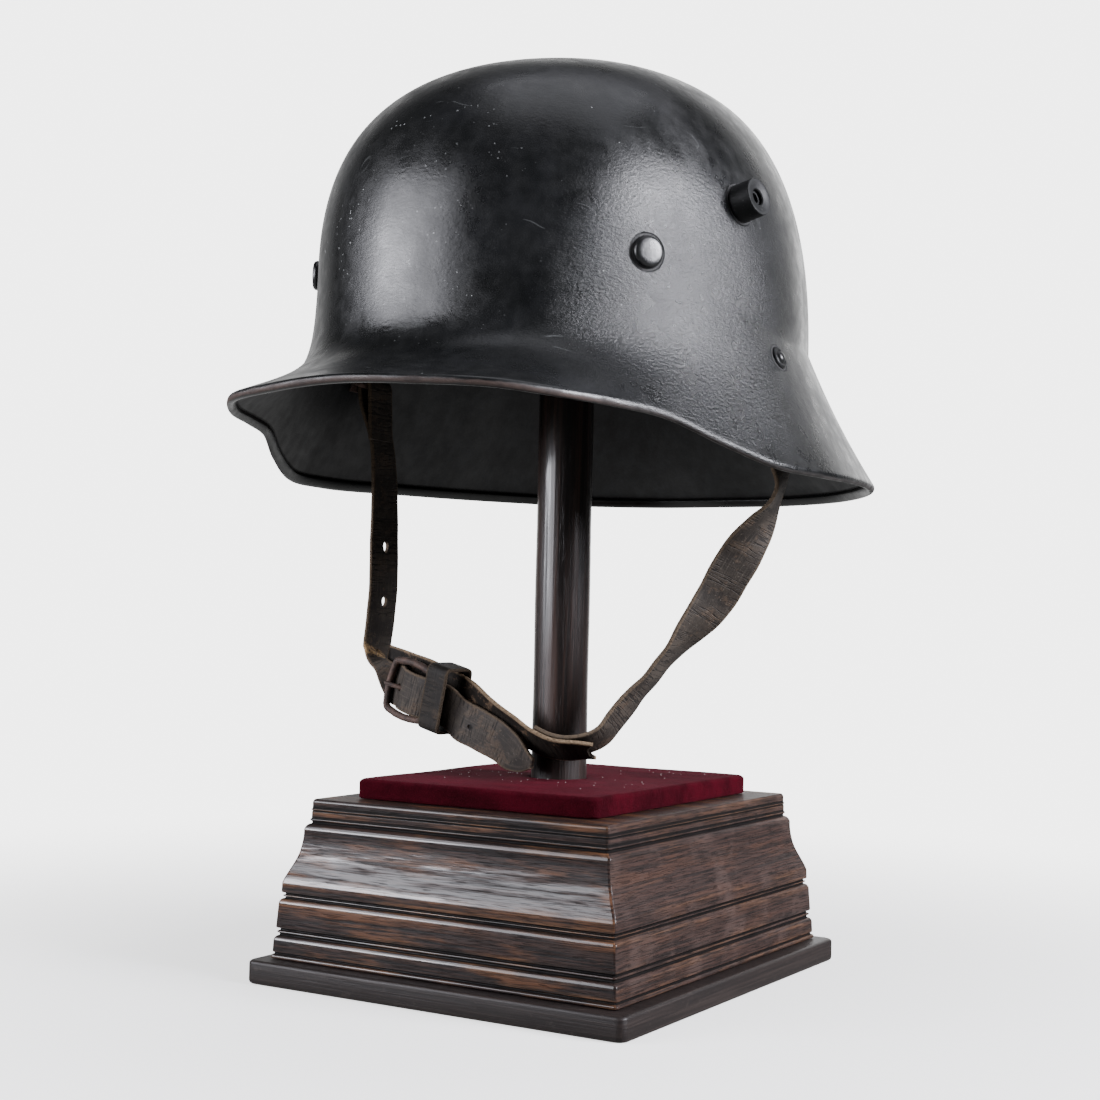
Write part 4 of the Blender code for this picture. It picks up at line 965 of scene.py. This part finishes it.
def keeper_band():
    """Closed loop round the strip and the strap's end."""
    centre, forward, width, face = guard.at(KEEPER_AT)
    skew = math.radians(KEEPER_SKEW)
    width, forward = (width * math.cos(skew) - forward * math.sin(skew),
                      forward * math.cos(skew) + width * math.sin(skew))
    back = -(STRAP_THICK + KEEPER_THICK) / 2 - 4 * GAP
    line = []
    for sx, sy, x, y in rounded(6):
        rise = (KEEPER_TOP if sx > 0 else KEEPER_BOTTOM) - sx * KEEPER_CORNER
        out = (KEEPER_FRONT if sy > 0 else back) - sy * KEEPER_CORNER
        line.append(centre + width * (rise + KEEPER_CORNER * x) + face * (out + KEEPER_CORNER * y))
    line.append(line[0])
    return Band(np.array(line), [forward] * len(line), 1, KEEPER_WIDTH / 2)


guard = Band(*stations(GUARD), per=4)

# Middle of the buckle and its axes: along the strip, across it and outwards
middle, ahead, across, outwards = guard.at(BUCKLE_AT)
middle = middle + across * BUCKLE_DROP + outwards * BUCKLE_OUT

coarse, band = right_band(2), right_band(10)
closed_at = band.near(coarse.at(CLOSED_HOLE[0])[0])
front, rear = TWIST_STRAP[0]
strap_leather = tan_leather(
    "strap_leather", tan=0.75, hole_shade=tuple(band.spot(closed_at, CLOSED_HOLE[1]) * MM),
    broken=[tuple((front * (1 - u) + rear * u) * MM) for u in (0.0, 0.22, 0.44, 0.66)])
strip_leather = tan_leather("strip_leather", dark=0.42, tan=1.7, shine=0.12)
keeper_leather = tan_leather("keeper_leather", dark=0.42, gloss=0.04, tan=0.45, shine=0.2)

strip = cut_strap("guard_strip", guard, STRAP_THICK, strip_leather, 150, bite=STRIP_BITE_RADIUS)
dress(strip, "strap_leather", "strap_guard")

left_strap = cut_strap("left_chin_strap", left_band(), STRAP_THICK, strap_leather, 230)
dress(left_strap, "strap_leather", "strap_left")

right_strap = cut_strap("right_chin_strap", band, STRAP_THICK, strap_leather, 420)
cutters = [awl(band, band.near(coarse.at(hole[0])[0]), *hole[1:], strap_leather, drop=0.5)
           for hole in HOLES]
cutters += [awl(band, closed_at, *CLOSED_HOLE[1:], strap_leather, drop=0.5, reach=reach)
            for reach in ((-3.0, -0.25), (0.25, 3.0))]
cutters.append(awl(band, band.near(middle + ahead * PRONG_HOLE_AT), *PRONG_HOLE, strap_leather))
cut_out(right_strap, cutters)
dress(right_strap, "strap_leather", "strap_right")

chape = cut_strap("buckle_chape_loop", chape_band(), CHAPE_THICK, strap_leather, 60, wave=0.05)
slot = [middle + ahead * (BAR_REACH + a) + across * b + outwards * c
        for c in (-3.9, 3.6) for a, b in ((-6, -2), (3.2, -2), (3.2, 2), (-6, 2))]
slot_faces = [(3, 2, 1, 0), (4, 5, 6, 7)] + between(2, 4)
cut_out(chape, [make_piece("chape_slot", slot, slot_faces, strap_leather)])
dress(chape, "strap_leather", "buckle_chape")

keeper = cut_strap("keeper_loop", keeper_band(), KEEPER_THICK, keeper_leather, 96,
                   closed=True, wave=0.05)
dress(keeper, "strap_leather", "strap_keeper")


# ---------------------------------------------------------------- buckle, prong and strap lugs
# A frame of round iron, rusted brown, with a prong hooked round its far bar.
# Each lug is a small domed rivet that holds a plate and a bar inside the shell.

BUCKLE_CORNER = 3.0
PRONG_RADIUS, PRONG_EYE_RADIUS, PRONG_TIP = 1.0, 0.7, 0.75
PRONG_SHAFT = ((7.2, 0.7), (2.0, 0.1), (-3.0, 0.9), (-7.5, 2.7), (-12.0, 3.1))
LUG_PLATE_HALF, LUG_BEVEL, LUG_BAR_BEND = 4.5, 0.3, 0.8
LUG_RIVET = ((0, 2.35), (0.9, 2.3), (1.6, 2.1), (2.1, 1.75), (2.4, 1.3), (2.55, 1.0), (2.9, 1.0),
             (3.3, 1.25), (3.8, 1.25), (4.2, 0.95), (4.45, 0.6), (4.5, 0.3), (4.2, 0.15),
             (1.8, 0.15), (1.8, TAIL - 0.9), (0, TAIL - 0.9))

# Rust from dark to brown, its grit and where it is rubbed bright
RUST = (0.026, 0.016, 0.013), (0.078, 0.045, 0.034)
GRIT, BRIGHT = (0.13, 0.070, 0.045), (0.24, 0.20, 0.18)


def rust(name):
    iron = new_finish(name, Specular_IOR_Level=0.5)
    place = iron.place()
    scale = iron.noise(place, 260.0, 5.0, 0.65)
    grit = iron.noise(place, 1100.0, 3.0, 0.6)
    bright = scale.step(0.62, 0.75)
    iron.ground(scale.step(0.35, 0.65), *RUST)
    iron.over(grit.step(0.55, 0.75) * 0.6, GRIT)
    iron.over(bright * 0.5, BRIGHT)
    return iron.done(scale * 0.00025 + grit * 0.00008, Roughness=0.72 - bright * 0.3,
                     Metallic=0.25 + bright * 0.5)


def drawn_wire(name, line, radius, finish, closed=False, radii=1.0):
    """Round iron along a line of points, its ends closed."""
    curve = bpy.data.curves.new(name, "CURVE")
    curve.dimensions, curve.use_fill_caps = "3D", True
    curve.bevel_depth, curve.bevel_resolution = radius * MM, 5
    run = curve.splines.new("POLY")
    run.points.add(len(line) - 1)
    for spot, point, size in zip(run.points, line, np.broadcast_to(radii, len(line))):
        spot.co, spot.radius = (*(point * MM), 1.0), size
    run.use_cyclic_u = closed
    holder = placed(name, curve)
    mesh = settled(holder)
    bpy.data.objects.remove(holder)
    return placed(name, smooth(mesh, finish, 50.0, merge=True))


def joined(name, things, finish):
    """Several closed meshes as one piece."""
    work = bmesh.new()
    for thing in things:
        work.from_mesh(thing.data)
        bpy.data.objects.remove(thing)
    mesh = bpy.data.meshes.new(name)
    work.to_mesh(mesh)
    work.free()
    return placed(name, smooth(mesh, finish, 40.0))


def lug_inside(side):
    """Plate with rounded edges and the bar under it, inside the shell."""
    spot, x, y, z = seat(*LUG_SEATS[0][:2], side)
    half, low = LUG_BAR_LENGTH / 2, TAIL - LUG_PLATE_THICK
    rows = ((TAIL, LUG_BEVEL), (TAIL - LUG_BEVEL, 0.0), (low + LUG_BEVEL, 0.0), (low, LUG_BEVEL))
    points = [spot + x * sx * (half - inset) + y * sy * (LUG_PLATE_HALF - inset) + z * depth
              for depth, inset in rows for sx, sy in ((1, 1), (-1, 1), (-1, -1), (1, -1))]
    faces = [(0, 1, 2, 3), (15, 14, 13, 12)] + between(4, 4)
    foot, reach = low + 0.5, half - LUG_BAR_RADIUS
    left = [(-reach, foot), (-reach, BAR_DEPTH + LUG_BAR_BEND), (-reach + LUG_BAR_BEND, BAR_DEPTH)]
    line = [spot + x * a + z * b for a, b in left + [(-a, b) for a, b in left[::-1]]]
    return [make_piece("lug_plate", points, faces, rusty_iron),
            drawn_wire("lug_bar", line, LUG_BAR_RADIUS, rusty_iron)]


rusty_iron = rust("rusty_iron")
half_long = BAR_REACH - BUCKLE_CORNER
half_high = BUCKLE_HEIGHT / 2 - BUCKLE_WIRE - BUCKLE_CORNER
line = [middle + ahead * (sx * half_long + BUCKLE_CORNER * x)
        + across * (sy * half_high + BUCKLE_CORNER * y) for sx, sy, x, y in rounded(3)]
line = spline([*line[-2:], *line, *line[:3]], 4)[8:-12]
worn_size = [1.0 + 0.03 * math.sin(1.7 * k) for k in range(len(line))]
dress(drawn_wire("iron_buckle", line, BUCKLE_WIRE, rusty_iron, True, worn_size),
      "rusty_iron", "buckle_frame")

eye = BUCKLE_WIRE + GAP + PRONG_EYE_RADIUS
line = [middle + ahead * (BAR_REACH + eye * math.cos(a)) + outwards * eye * math.sin(a)
        for a in map(math.radians, range(-150, 151, 15))]
sizes = [PRONG_EYE_RADIUS / PRONG_RADIUS] * len(line) + [1.0] * (len(PRONG_SHAFT) - 1)
sizes.append(PRONG_TIP)
line += [middle + ahead * on + outwards * out for on, out in PRONG_SHAFT]
sizes = np.interp(np.arange(3 * len(line) - 2) / 3, np.arange(len(line)), sizes)
dress(drawn_wire("iron_prong", spline(line, 3), PRONG_RADIUS, rusty_iron, radii=sizes),
      "rusty_iron", "buckle_prong")

dress(joined("inner_strap_lugs", lug_inside(1.0) + lug_inside(-1.0), rusty_iron), "rusty_iron")
dress(set_fittings("strap_lug_rivets", LUG_SEATS, LUG_RIVET, fitting_paint), "black_paint",
      "strap_lug_left", "strap_lug_right")


# ---------------------------------------------------------------- post and its cap
# A turned dowel of dark stained walnut, polished, glued into the plinth.
# The helmet's crown rests on a turned wooden cap on its top.

POST_RADIUS = 11.7
CAP_RADIUS, CAP_DEPTH, CAP_DROP = 30.0, 16.0, 5.0
PLINTH_TOP = 73.2

# Walnut from dark to pale, its broad pale streaks, and its pores, whose dark is also the painted
# shade at the post's foot
WALNUT = (0.0052, 0.0030, 0.0028), (0.032, 0.015, 0.011)
BROAD, PORES_AND_FOOT_SHADE = (0.060, 0.028, 0.016), (0.004, 0.003, 0.0025)


def stained_dowel(name):
    walnut = new_finish(name, Coat_Roughness=0.13, Specular_IOR_Level=0.3)
    place = walnut.place()
    streaks = walnut.noise(place, (260, 260, 7), 5.0, 0.62)
    broad = walnut.noise(place, (90, 90, 4), 3.0, 0.5, shift=(2, 5, 1))
    pores = walnut.noise(place, (1500, 1500, 60), 2.0, 0.5).step(0.60, 0.70)
    ridges = walnut.noise(place, (420, 420, 9), 4.0, 0.6, shift=(1, 1, 3))
    # painted shade: the post is coloured darker towards its foot
    low = place.axis("Z").step(0.112, 0.092)
    walnut.ground(streaks.step(0.40, 0.62), *WALNUT)
    walnut.over(broad.step(0.52, 0.7) * 0.6, BROAD)
    walnut.over(pores * 0.6, PORES_AND_FOOT_SHADE)
    walnut.over(low * 0.7, PORES_AND_FOOT_SHADE)
    polish = streaks.step(0.34, 0.56) * (0.45 + ridges * 0.9) * (1.0 - low * 0.7)
    return walnut.done(streaks * 0.0007 + ridges * 0.0002 - pores * 0.00006,
                       Roughness=0.38 + streaks * 0.2, Coat_Weight=polish)


def cap_height():
    """Top of the cap, just under the lowest point of the crown above it."""
    room = []
    for turn in range(0, 360, 10):
        for x, y, z in dome_line(*folded(turn)):
            out = math.hypot(x, y)
            if out <= CAP_RADIUS + 2:
                room.append(z - STEEL - GAP + CAP_DROP * (out / CAP_RADIUS) ** 2)
    return min(room)


dowel = stained_dowel("stained_dowel")
top = cap_height()
shoulder, base = top - CAP_DROP, top - CAP_DEPTH
foot, head = PLINTH_TOP + GAP, base - GAP
profile = [(0, head), (POST_RADIUS - 1.0, head), (POST_RADIUS - 0.3, head - 0.3),
           (POST_RADIUS, head - 1.0)]
profile += [(POST_RADIUS - 0.10 + 0.08 * math.sin(0.09 * h) + 0.02 * math.sin(0.7 * h), h)
            for h in np.linspace(head - 6.0, foot + 6.0, 60)]
profile += [(POST_RADIUS, foot + 0.8), (POST_RADIUS - 0.2, foot + 0.2),
            (POST_RADIUS - 0.6, foot), (0, foot)]
dress(make_piece("turned_post", *turned(profile, 96), dowel), "dark_wood", "post")

profile = [(CAP_RADIUS * k / 16, top - CAP_DROP * (k / 16) ** 2) for k in range(16)]
profile += [(CAP_RADIUS - 0.5, shoulder - 0.1), (CAP_RADIUS, shoulder - 0.8),
            (CAP_RADIUS, shoulder - 3.0), (CAP_RADIUS - 0.6, shoulder - 4.2),
            (CAP_RADIUS - 2.2, base + 4.4), (CAP_RADIUS - 5.0, base + 2.2),
            (CAP_RADIUS - 9.0, base + 0.6), (POST_RADIUS + 5, base), (0, base)]
dress(make_piece("turned_cap", *turned(profile, 96), dowel), "dark_wood", "post_cap")


# ---------------------------------------------------------------- plinth
# Four lengths of a run moulding of walnut, mitred at the corners, stained dark and lacquered;
# the stain is rubbed to golden brown along the raised edges. It stands on a plain dark slab.

PLAN_EXTRA = 10.8
PLINTH_CORNER, SLAB_CORNER = 1.2, 3.5
SLAB_HALF, SLAB_HEIGHT, SLAB_EDGE = 86.0, 9.5, 1.4
ROW_STEP, LEAST_BEND = 1.5, 12

# Run moulding: height above the table, half width. A bead and three bands, with a fillet
# in each groove between them; above them a vertical fascia, an ogee, a nosing and a frieze
MOULDING = np.array((
    (9.8, 78.9), (10.2, 79.4), (11.0, 79.4), (11.4, 78.9), (11.7, 78.3), (12.2, 78.2),
    (12.5, 78.9), (17.4, 78.7), (18.6, 78.1), (19.0, 77.0), (19.8, 76.9), (20.1, 77.7),
    (20.7, 77.7), (21.0, 76.8), (21.8, 76.8), (22.0, 78.1), (32.1, 77.5), (33.4, 76.8),
    (33.7, 75.7), (34.3, 75.6), (34.5, 76.3), (34.9, 76.3), (35.1, 75.6), (35.8, 75.6),
    (36.0, 76.8), (39.8, 76.7), (41.4, 76.2), (42.4, 75.8), (44.0, 75.1), (46.0, 74.2),
    (49.0, 72.9), (52.0, 71.9), (56.0, 71.2), (59.0, 70.9), (61.2, 70.9), (62.4, 70.4),
    (63.2, 69.7), (63.5, 68.7), (64.3, 68.6), (64.7, 69.2), (65.2, 69.2), (65.6, 68.8),
    (68.2, 68.8), (68.5, 68.5), (68.8, 68.9), (69.3, 68.9), (69.6, 68.6), (72.3, 68.6),
    (PLINTH_TOP, 68.0),
))

# Where a side of the UV map starts: on the sides that face X, on those to the right, on ends
SIDE_ON_X, SIDE_RIGHT, END_SHIFT = 0.7, 1.5, 2.0

# Stained wood from dark to pale, its figure, the duller side, rubbed edges, pores, the painted
# shade in the grooves;
# the slab from dark to pale, and where it is scuffed
STAINED = (0.0042, 0.0025, 0.0024), (0.031, 0.0150, 0.0113)
GOLDEN, DULLER = (0.105, 0.042, 0.018), (0.062, 0.040, 0.034)
RUBBED, OPEN_PORES = (0.17, 0.085, 0.040), (0.0035, 0.0022, 0.0020)
SHADED = (0.0012, 0.0009, 0.0008)
SATIN = (0.0095, 0.0065, 0.0060), (0.023, 0.0160, 0.0140)
SCUFFED = (0.045, 0.036, 0.03)


def eased(profile):
    """The moulding's section with each edge rounded, its rows a short step apart at most."""
    out = [profile[0]]
    for before, row, after in zip(profile, profile[1:], profile[2:]):
        down, on = before - row, after - row
        sizes = np.linalg.norm(down), np.linalg.norm(on)
        bend = math.degrees(math.acos(np.clip(-(down @ on) / (sizes[0] * sizes[1]), -1, 1)))
        reach = min(0.45 * min(sizes), 0.5 if bend > LEAST_BEND else 3.0)
        a, b = row + down / sizes[0] * reach, row + on / sizes[1] * reach
        out += [(1 - u)**2 * a + 2 * u * (1 - u) * row + u * u * b
                for u in (0.0, 0.25, 0.5, 0.75, 1.0)]
    fine = [out[0]]
    for point in [*out[1:], profile[-1]]:
        start = fine[-1]
        count = max(1, math.ceil(np.linalg.norm(point - start) / ROW_STEP))
        fine += [start + (point - start) * k / count for k in range(1, count + 1)]
    return np.array(fine)


def raised_and_sunk(profile, rows):
    """How near each row lies to a raised edge and to a groove of the section."""
    raised, sunk = np.zeros(len(rows)), np.zeros(len(rows))
    for before, row, after in zip(profile, profile[1:], profile[2:]):
        a, b = row - before, after - row
        bend = math.degrees(math.atan2(a[0] * b[1] - a[1] * b[0], a @ b))
        away = np.linalg.norm(rows - row, axis=1)
        if bend <= -LEAST_BEND:
            raised = np.maximum(raised, np.exp(-(away / 0.8) ** 2))
        elif bend > 35:
            sunk = np.maximum(sunk, np.exp(-(away / 0.6) ** 2))
    return raised, sunk


def rounded_off(height, half, radius):
    """Rows of an upper edge rounded by a radius, from just above its side to its top."""
    return [(height - radius + radius * math.sin(a), half - radius + radius * math.cos(a))
            for a in map(math.radians, range(15, 91, 15))]


def mitred(name, rows, radius, finish, per=4, **marks):
    """Solid of rounded rectangles from the bottom row to the top one.
    Its UV map holds the distance along each side and up its section."""
    plan = rounded(per)
    n = len(plan)
    points = [(sx * (half - radius) + radius * x,
               sy * (half + PLAN_EXTRA - radius) + radius * y, height)
              for height, half in rows for sx, sy, x, y in plan]
    faces = [tuple(range(n - 1, -1, -1))] + between(len(rows), n)
    faces.append(tuple(range(len(points) - n, len(points))))
    solid = make_piece(name, points, faces, finish, 35.0)
    up = run_along(rows) * MM
    layer = solid.data.uv_layers.new(name="side")
    for face in solid.data.polygons:
        x, y, z = face.normal
        end = abs(z) > 0.95 and face.area > 0.001
        axis, start = (1, SIDE_ON_X) if abs(x) > abs(y) else (0, 0.0)
        further = SIDE_RIGHT if x + y > 0 else 0.0
        for loop, index in zip(face.loop_indices, face.vertices):
            spot = solid.data.vertices[index].co
            layer.data[loop].uv = ((spot.x, spot.y + END_SHIFT) if end else
                                   (spot[axis] + start + further, up[index // n]))
    for key, values in marks.items():
        note(solid, key, np.repeat(values, n))
    return solid


def lacquered(name):
    """Stained walnut under lacquer; the side towards the wearer's left is duller."""
    wood = new_finish(name, Coat_Roughness=0.15, Specular_IOR_Level=0.16)
    place, side = wood.place(), wood.laid_out("side")
    raised, sunk, level = wood.attribute("raised"), wood.attribute("sunk"), place.axis("Z")
    dull, shade = side.axis("X").step(1.90, 1.95), sunk.step(0.25, 0.7)
    grain = wood.noise(side, (17, 900, 1), 5.0, 0.68)
    figure = wood.noise(side, (20, 110, 1), 4.0, 0.6, shift=(4, 2, 0))
    blotch = wood.noise(place, 62.0, 3.0, 0.55)
    pores = wood.noise(side, (90, 2600, 1), 2.0, 0.5).step(0.56, 0.62)
    broken = wood.noise(side, (22, 420, 1), 5.0, 0.68, shift=(1, 7, 0))
    wood.ground(grain.step(0.38, 0.62), *STAINED)
    edges = level.step(0.0372, 0.0395) * level.step(0.0425, 0.0405)
    edges = edges.most(level.step(0.0275, 0.0315) * level.step(0.0335, 0.0325))
    golden = figure.step(0.50, 0.64).most(edges * figure.step(0.38, 0.56)) * (0.80 - dull * 0.62)
    wood.over(golden * grain.step(0.3, 0.55), GOLDEN)
    wood.over(dull * (0.12 + blotch.step(0.45, 0.7) * 0.4), DULLER)
    rubbed = raised * figure.step(0.42, 0.6) * grain.step(0.35, 0.6) * (1.0 - dull * 0.6)
    wood.over(rubbed * 0.6, RUBBED)
    wood.over(pores * 0.6, OPEN_PORES)
    # painted shade: the grooves are coloured near black
    wood.over(shade * 0.95, SHADED)
    worn = level.step(0.0450, 0.0580) * 0.24
    shine = (0.08 + (broken - worn).step(0.34, 0.54) * 0.92) * (1.0 - pores * 0.7)
    coat = (1.0 - dull * 0.82) * (1.0 - level.step(0.0625, 0.0645) * 0.5) * (1.0 - shade * 0.95)
    return wood.done(grain * 0.00026 - pores * 0.00014 + figure * 0.00035,
                     Roughness=0.46 + grain * 0.18 + dull * 0.12 + shade * 0.2,
                     Coat_Weight=coat * shine.most(raised * 0.9))


def satin_slab(name):
    slab = new_finish(name, Specular_IOR_Level=0.3)
    side, place = slab.laid_out("side"), slab.place()
    grain = slab.noise(side, (14, 800, 1), 5.0, 0.68)
    cloud = slab.noise(place, 30.0, 3.0, 0.5)
    slab.ground(grain.step(0.4, 0.7), *SATIN)
    slab.over(slab.noise(place, 240.0, 3.0, 0.6).step(0.62, 0.72) * 0.3, SCUFFED)
    return slab.done(grain * 0.00016 + cloud * 0.0002,
                     Roughness=0.36 + cloud * 0.16 + grain * 0.1)


section = eased(MOULDING)
raised, sunk = raised_and_sunk(MOULDING, section)
dress(mitred("moulded_plinth", section, PLINTH_CORNER, lacquered("lacquered_walnut"),
             raised=raised, sunk=sunk), "dark_wood", "plinth_body")

rows = [(0.0, SLAB_HALF - 1.2), (0.2, SLAB_HALF - 0.7), (0.7, SLAB_HALF - 0.2),
        (1.5, SLAB_HALF), (SLAB_HEIGHT - SLAB_EDGE, SLAB_HALF)]
rows += rounded_off(SLAB_HEIGHT, SLAB_HALF, SLAB_EDGE)
dress(mitred("plain_slab", rows, SLAB_CORNER, satin_slab("satin_dark_wood"), per=8),
      "dark_wood", "plinth_slab")


# ---------------------------------------------------------------- velvet pad and its lint
# A board wrapped in burgundy cotton velvet, glued on the plinth round the post.
# Its pile is short and matt, lighter where it is seen along; a little white lint lies on it.

PAD_HALF, PAD_HEIGHT = 55.9, 8.1
PAD_EDGE, PAD_CORNER = 1.9, 3.0
PAD_CORNER_STEPS, PAD_SIDE_STEPS = 5, 24
PAD_INWARDS = (0.06, 0.14, 0.24, 0.36, 0.5, 0.64, 0.78, 0.9, 0.97)
PAD_WAVE, PAD_SINK = 0.12, 0.14
PILE = (0.018, 0.0004, 0.0022), (0.041, 0.0014, 0.0052)
NAP = (0.052, 0.0045, 0.011)
LINT = (0.42, 0.36, 0.36), (0.75, 0.72, 0.70)
LINT_PATCHES = (2, 24, 50, 58), (-46, -40, 46, 22)


def velvet(name):
    pile = new_finish(name, Sheen_Weight=0.05, Sheen_Roughness=0.42,
                      Sheen_Tint=(0.75, 0.12, 0.2), Specular_IOR_Level=0.04, Roughness=0.95)
    place = pile.place()
    nap = pile.noise(place, 1500.0, 3.0, 0.7)
    brushed = pile.noise(place, (45, 70, 60), 4.0, 0.6, turn=(0, 0, 0.5))
    pile.ground(brushed.step(0.32, 0.68), *PILE)
    pile.over(nap.step(0.45, 0.75) * 0.5, NAP)
    return pile.done(nap * 0.0004 + brushed * 0.0006)


def make_pad(finish):
    """Wrapped board: a fine grid, crowned a little, its edges soft, with the post's hole."""
    low, high = PLINTH_TOP + GAP, PLINTH_TOP + GAP + PAD_HEIGHT
    rows = [(low, PAD_HALF - 0.5), (low + 0.5, PAD_HALF - 0.05)]
    rows += [(low + 0.5 + (high - PAD_EDGE - low - 0.5) * k / 5, PAD_HALF) for k in range(1, 6)]
    rows += rounded_off(high, PAD_HALF, PAD_EDGE)
    corners, per, plan = rounded(PAD_CORNER_STEPS), PAD_CORNER_STEPS + 1, []
    for c in range(0, len(corners), per):
        plan += corners[c:c + per]
        (sx, sy, x, y), (nx, ny, _, _) = plan[-1], corners[(c + per) % len(corners)]
        plan += [(sx + (nx - sx) * share, sy + (ny - sy) * share, x, y)
                 for share in np.arange(1, PAD_SIDE_STEPS) / PAD_SIDE_STEPS]
    rings = [(height, half, 0.0) for height, half in rows]
    rings += [(high, rows[-1][1], inwards) for inwards in PAD_INWARDS]
    rings += [(height, rows[-1][1], 1.0) for height in (high - 0.6, low)]
    points = []
    for height, half, inwards in rings:
        for sx, sy, x, y in plan:
            spot = (sx * (half - PAD_CORNER) + x * PAD_CORNER,
                    sy * (half + PLAN_EXTRA - PAD_CORNER) + y * PAD_CORNER)
            hole, way = POST_RADIUS + GAP, math.hypot(*spot)
            x, y = (c * (1 - inwards) + hole * c / way * inwards for c in spot)
            wave = PAD_WAVE * math.sin(0.11 * x + 1.0) * math.sin(0.09 * y)
            points.append((x, y, height - PAD_SINK + wave if height > high - 1 else height))
    return make_piece("velvet_pad_cover", points, between(len(rings), len(plan), closed=True),
                      finish, 60.0)


pad = make_pad(velvet("burgundy_velvet"))
dress(pad, "red_velvet", "velvet_pad")

# Geometry Nodes that scatter small curled specks over two patches of the pad
lint_tree, add = new_tree("scatter_lint", Density="Float", Speck="Float", Seed="Int",
                          Lint="Material")
given = add("NodeGroupInput")
spread = add("GeometryNodeDistributePointsOnFaces", Mesh=given["Geometry"],
             Density=given["Density"], Seed=given["Seed"])
speck = add("GeometryNodeMeshIcoSphere", Subdivisions=1, Radius=given["Speck"])
size = add("FunctionNodeRandomValue", {"data_type": "FLOAT_VECTOR"}, Min=(0.3, 0.3, 0.3),
           Max=(1.8, 0.8, 0.6), Seed=given["Seed"])
turn = add("FunctionNodeRandomValue", {"data_type": "FLOAT_VECTOR"},
           Max=(0.4, 0.4, 6.283), Seed=given["Seed"])
made_real(add, add("GeometryNodeInstanceOnPoints", Points=spread["Points"],
                   Instance=speck["Mesh"], Rotation=turn["Value"], Scale=size["Value"]),
          given["Lint"])

fluff = new_finish("white_lint", Roughness=0.9)
fluff.feed(Base_Color=fluff.mix(fluff.noise(fluff.place(), 2400.0, 2.0, 0.5), *LINT))
level = PLINTH_TOP + GAP + PAD_HEIGHT - 0.05
corners = [(x, y, level) for x0, y0, x1, y1 in LINT_PATCHES
           for x, y in ((x0, y0), (x1, y0), (x1, y1), (x0, y1))]
patches = bpy.data.meshes.new("patches")
patches.from_pydata([tuple(c * MM for c in p) for p in corners], [],
                    [(0, 1, 2, 3), (4, 5, 6, 7)])
dress(grown("velvet_lint", patches, lint_tree, Density=7500.0, Speck=0.00022, Seed=7,
            Lint=fluff.material), "red_velvet")
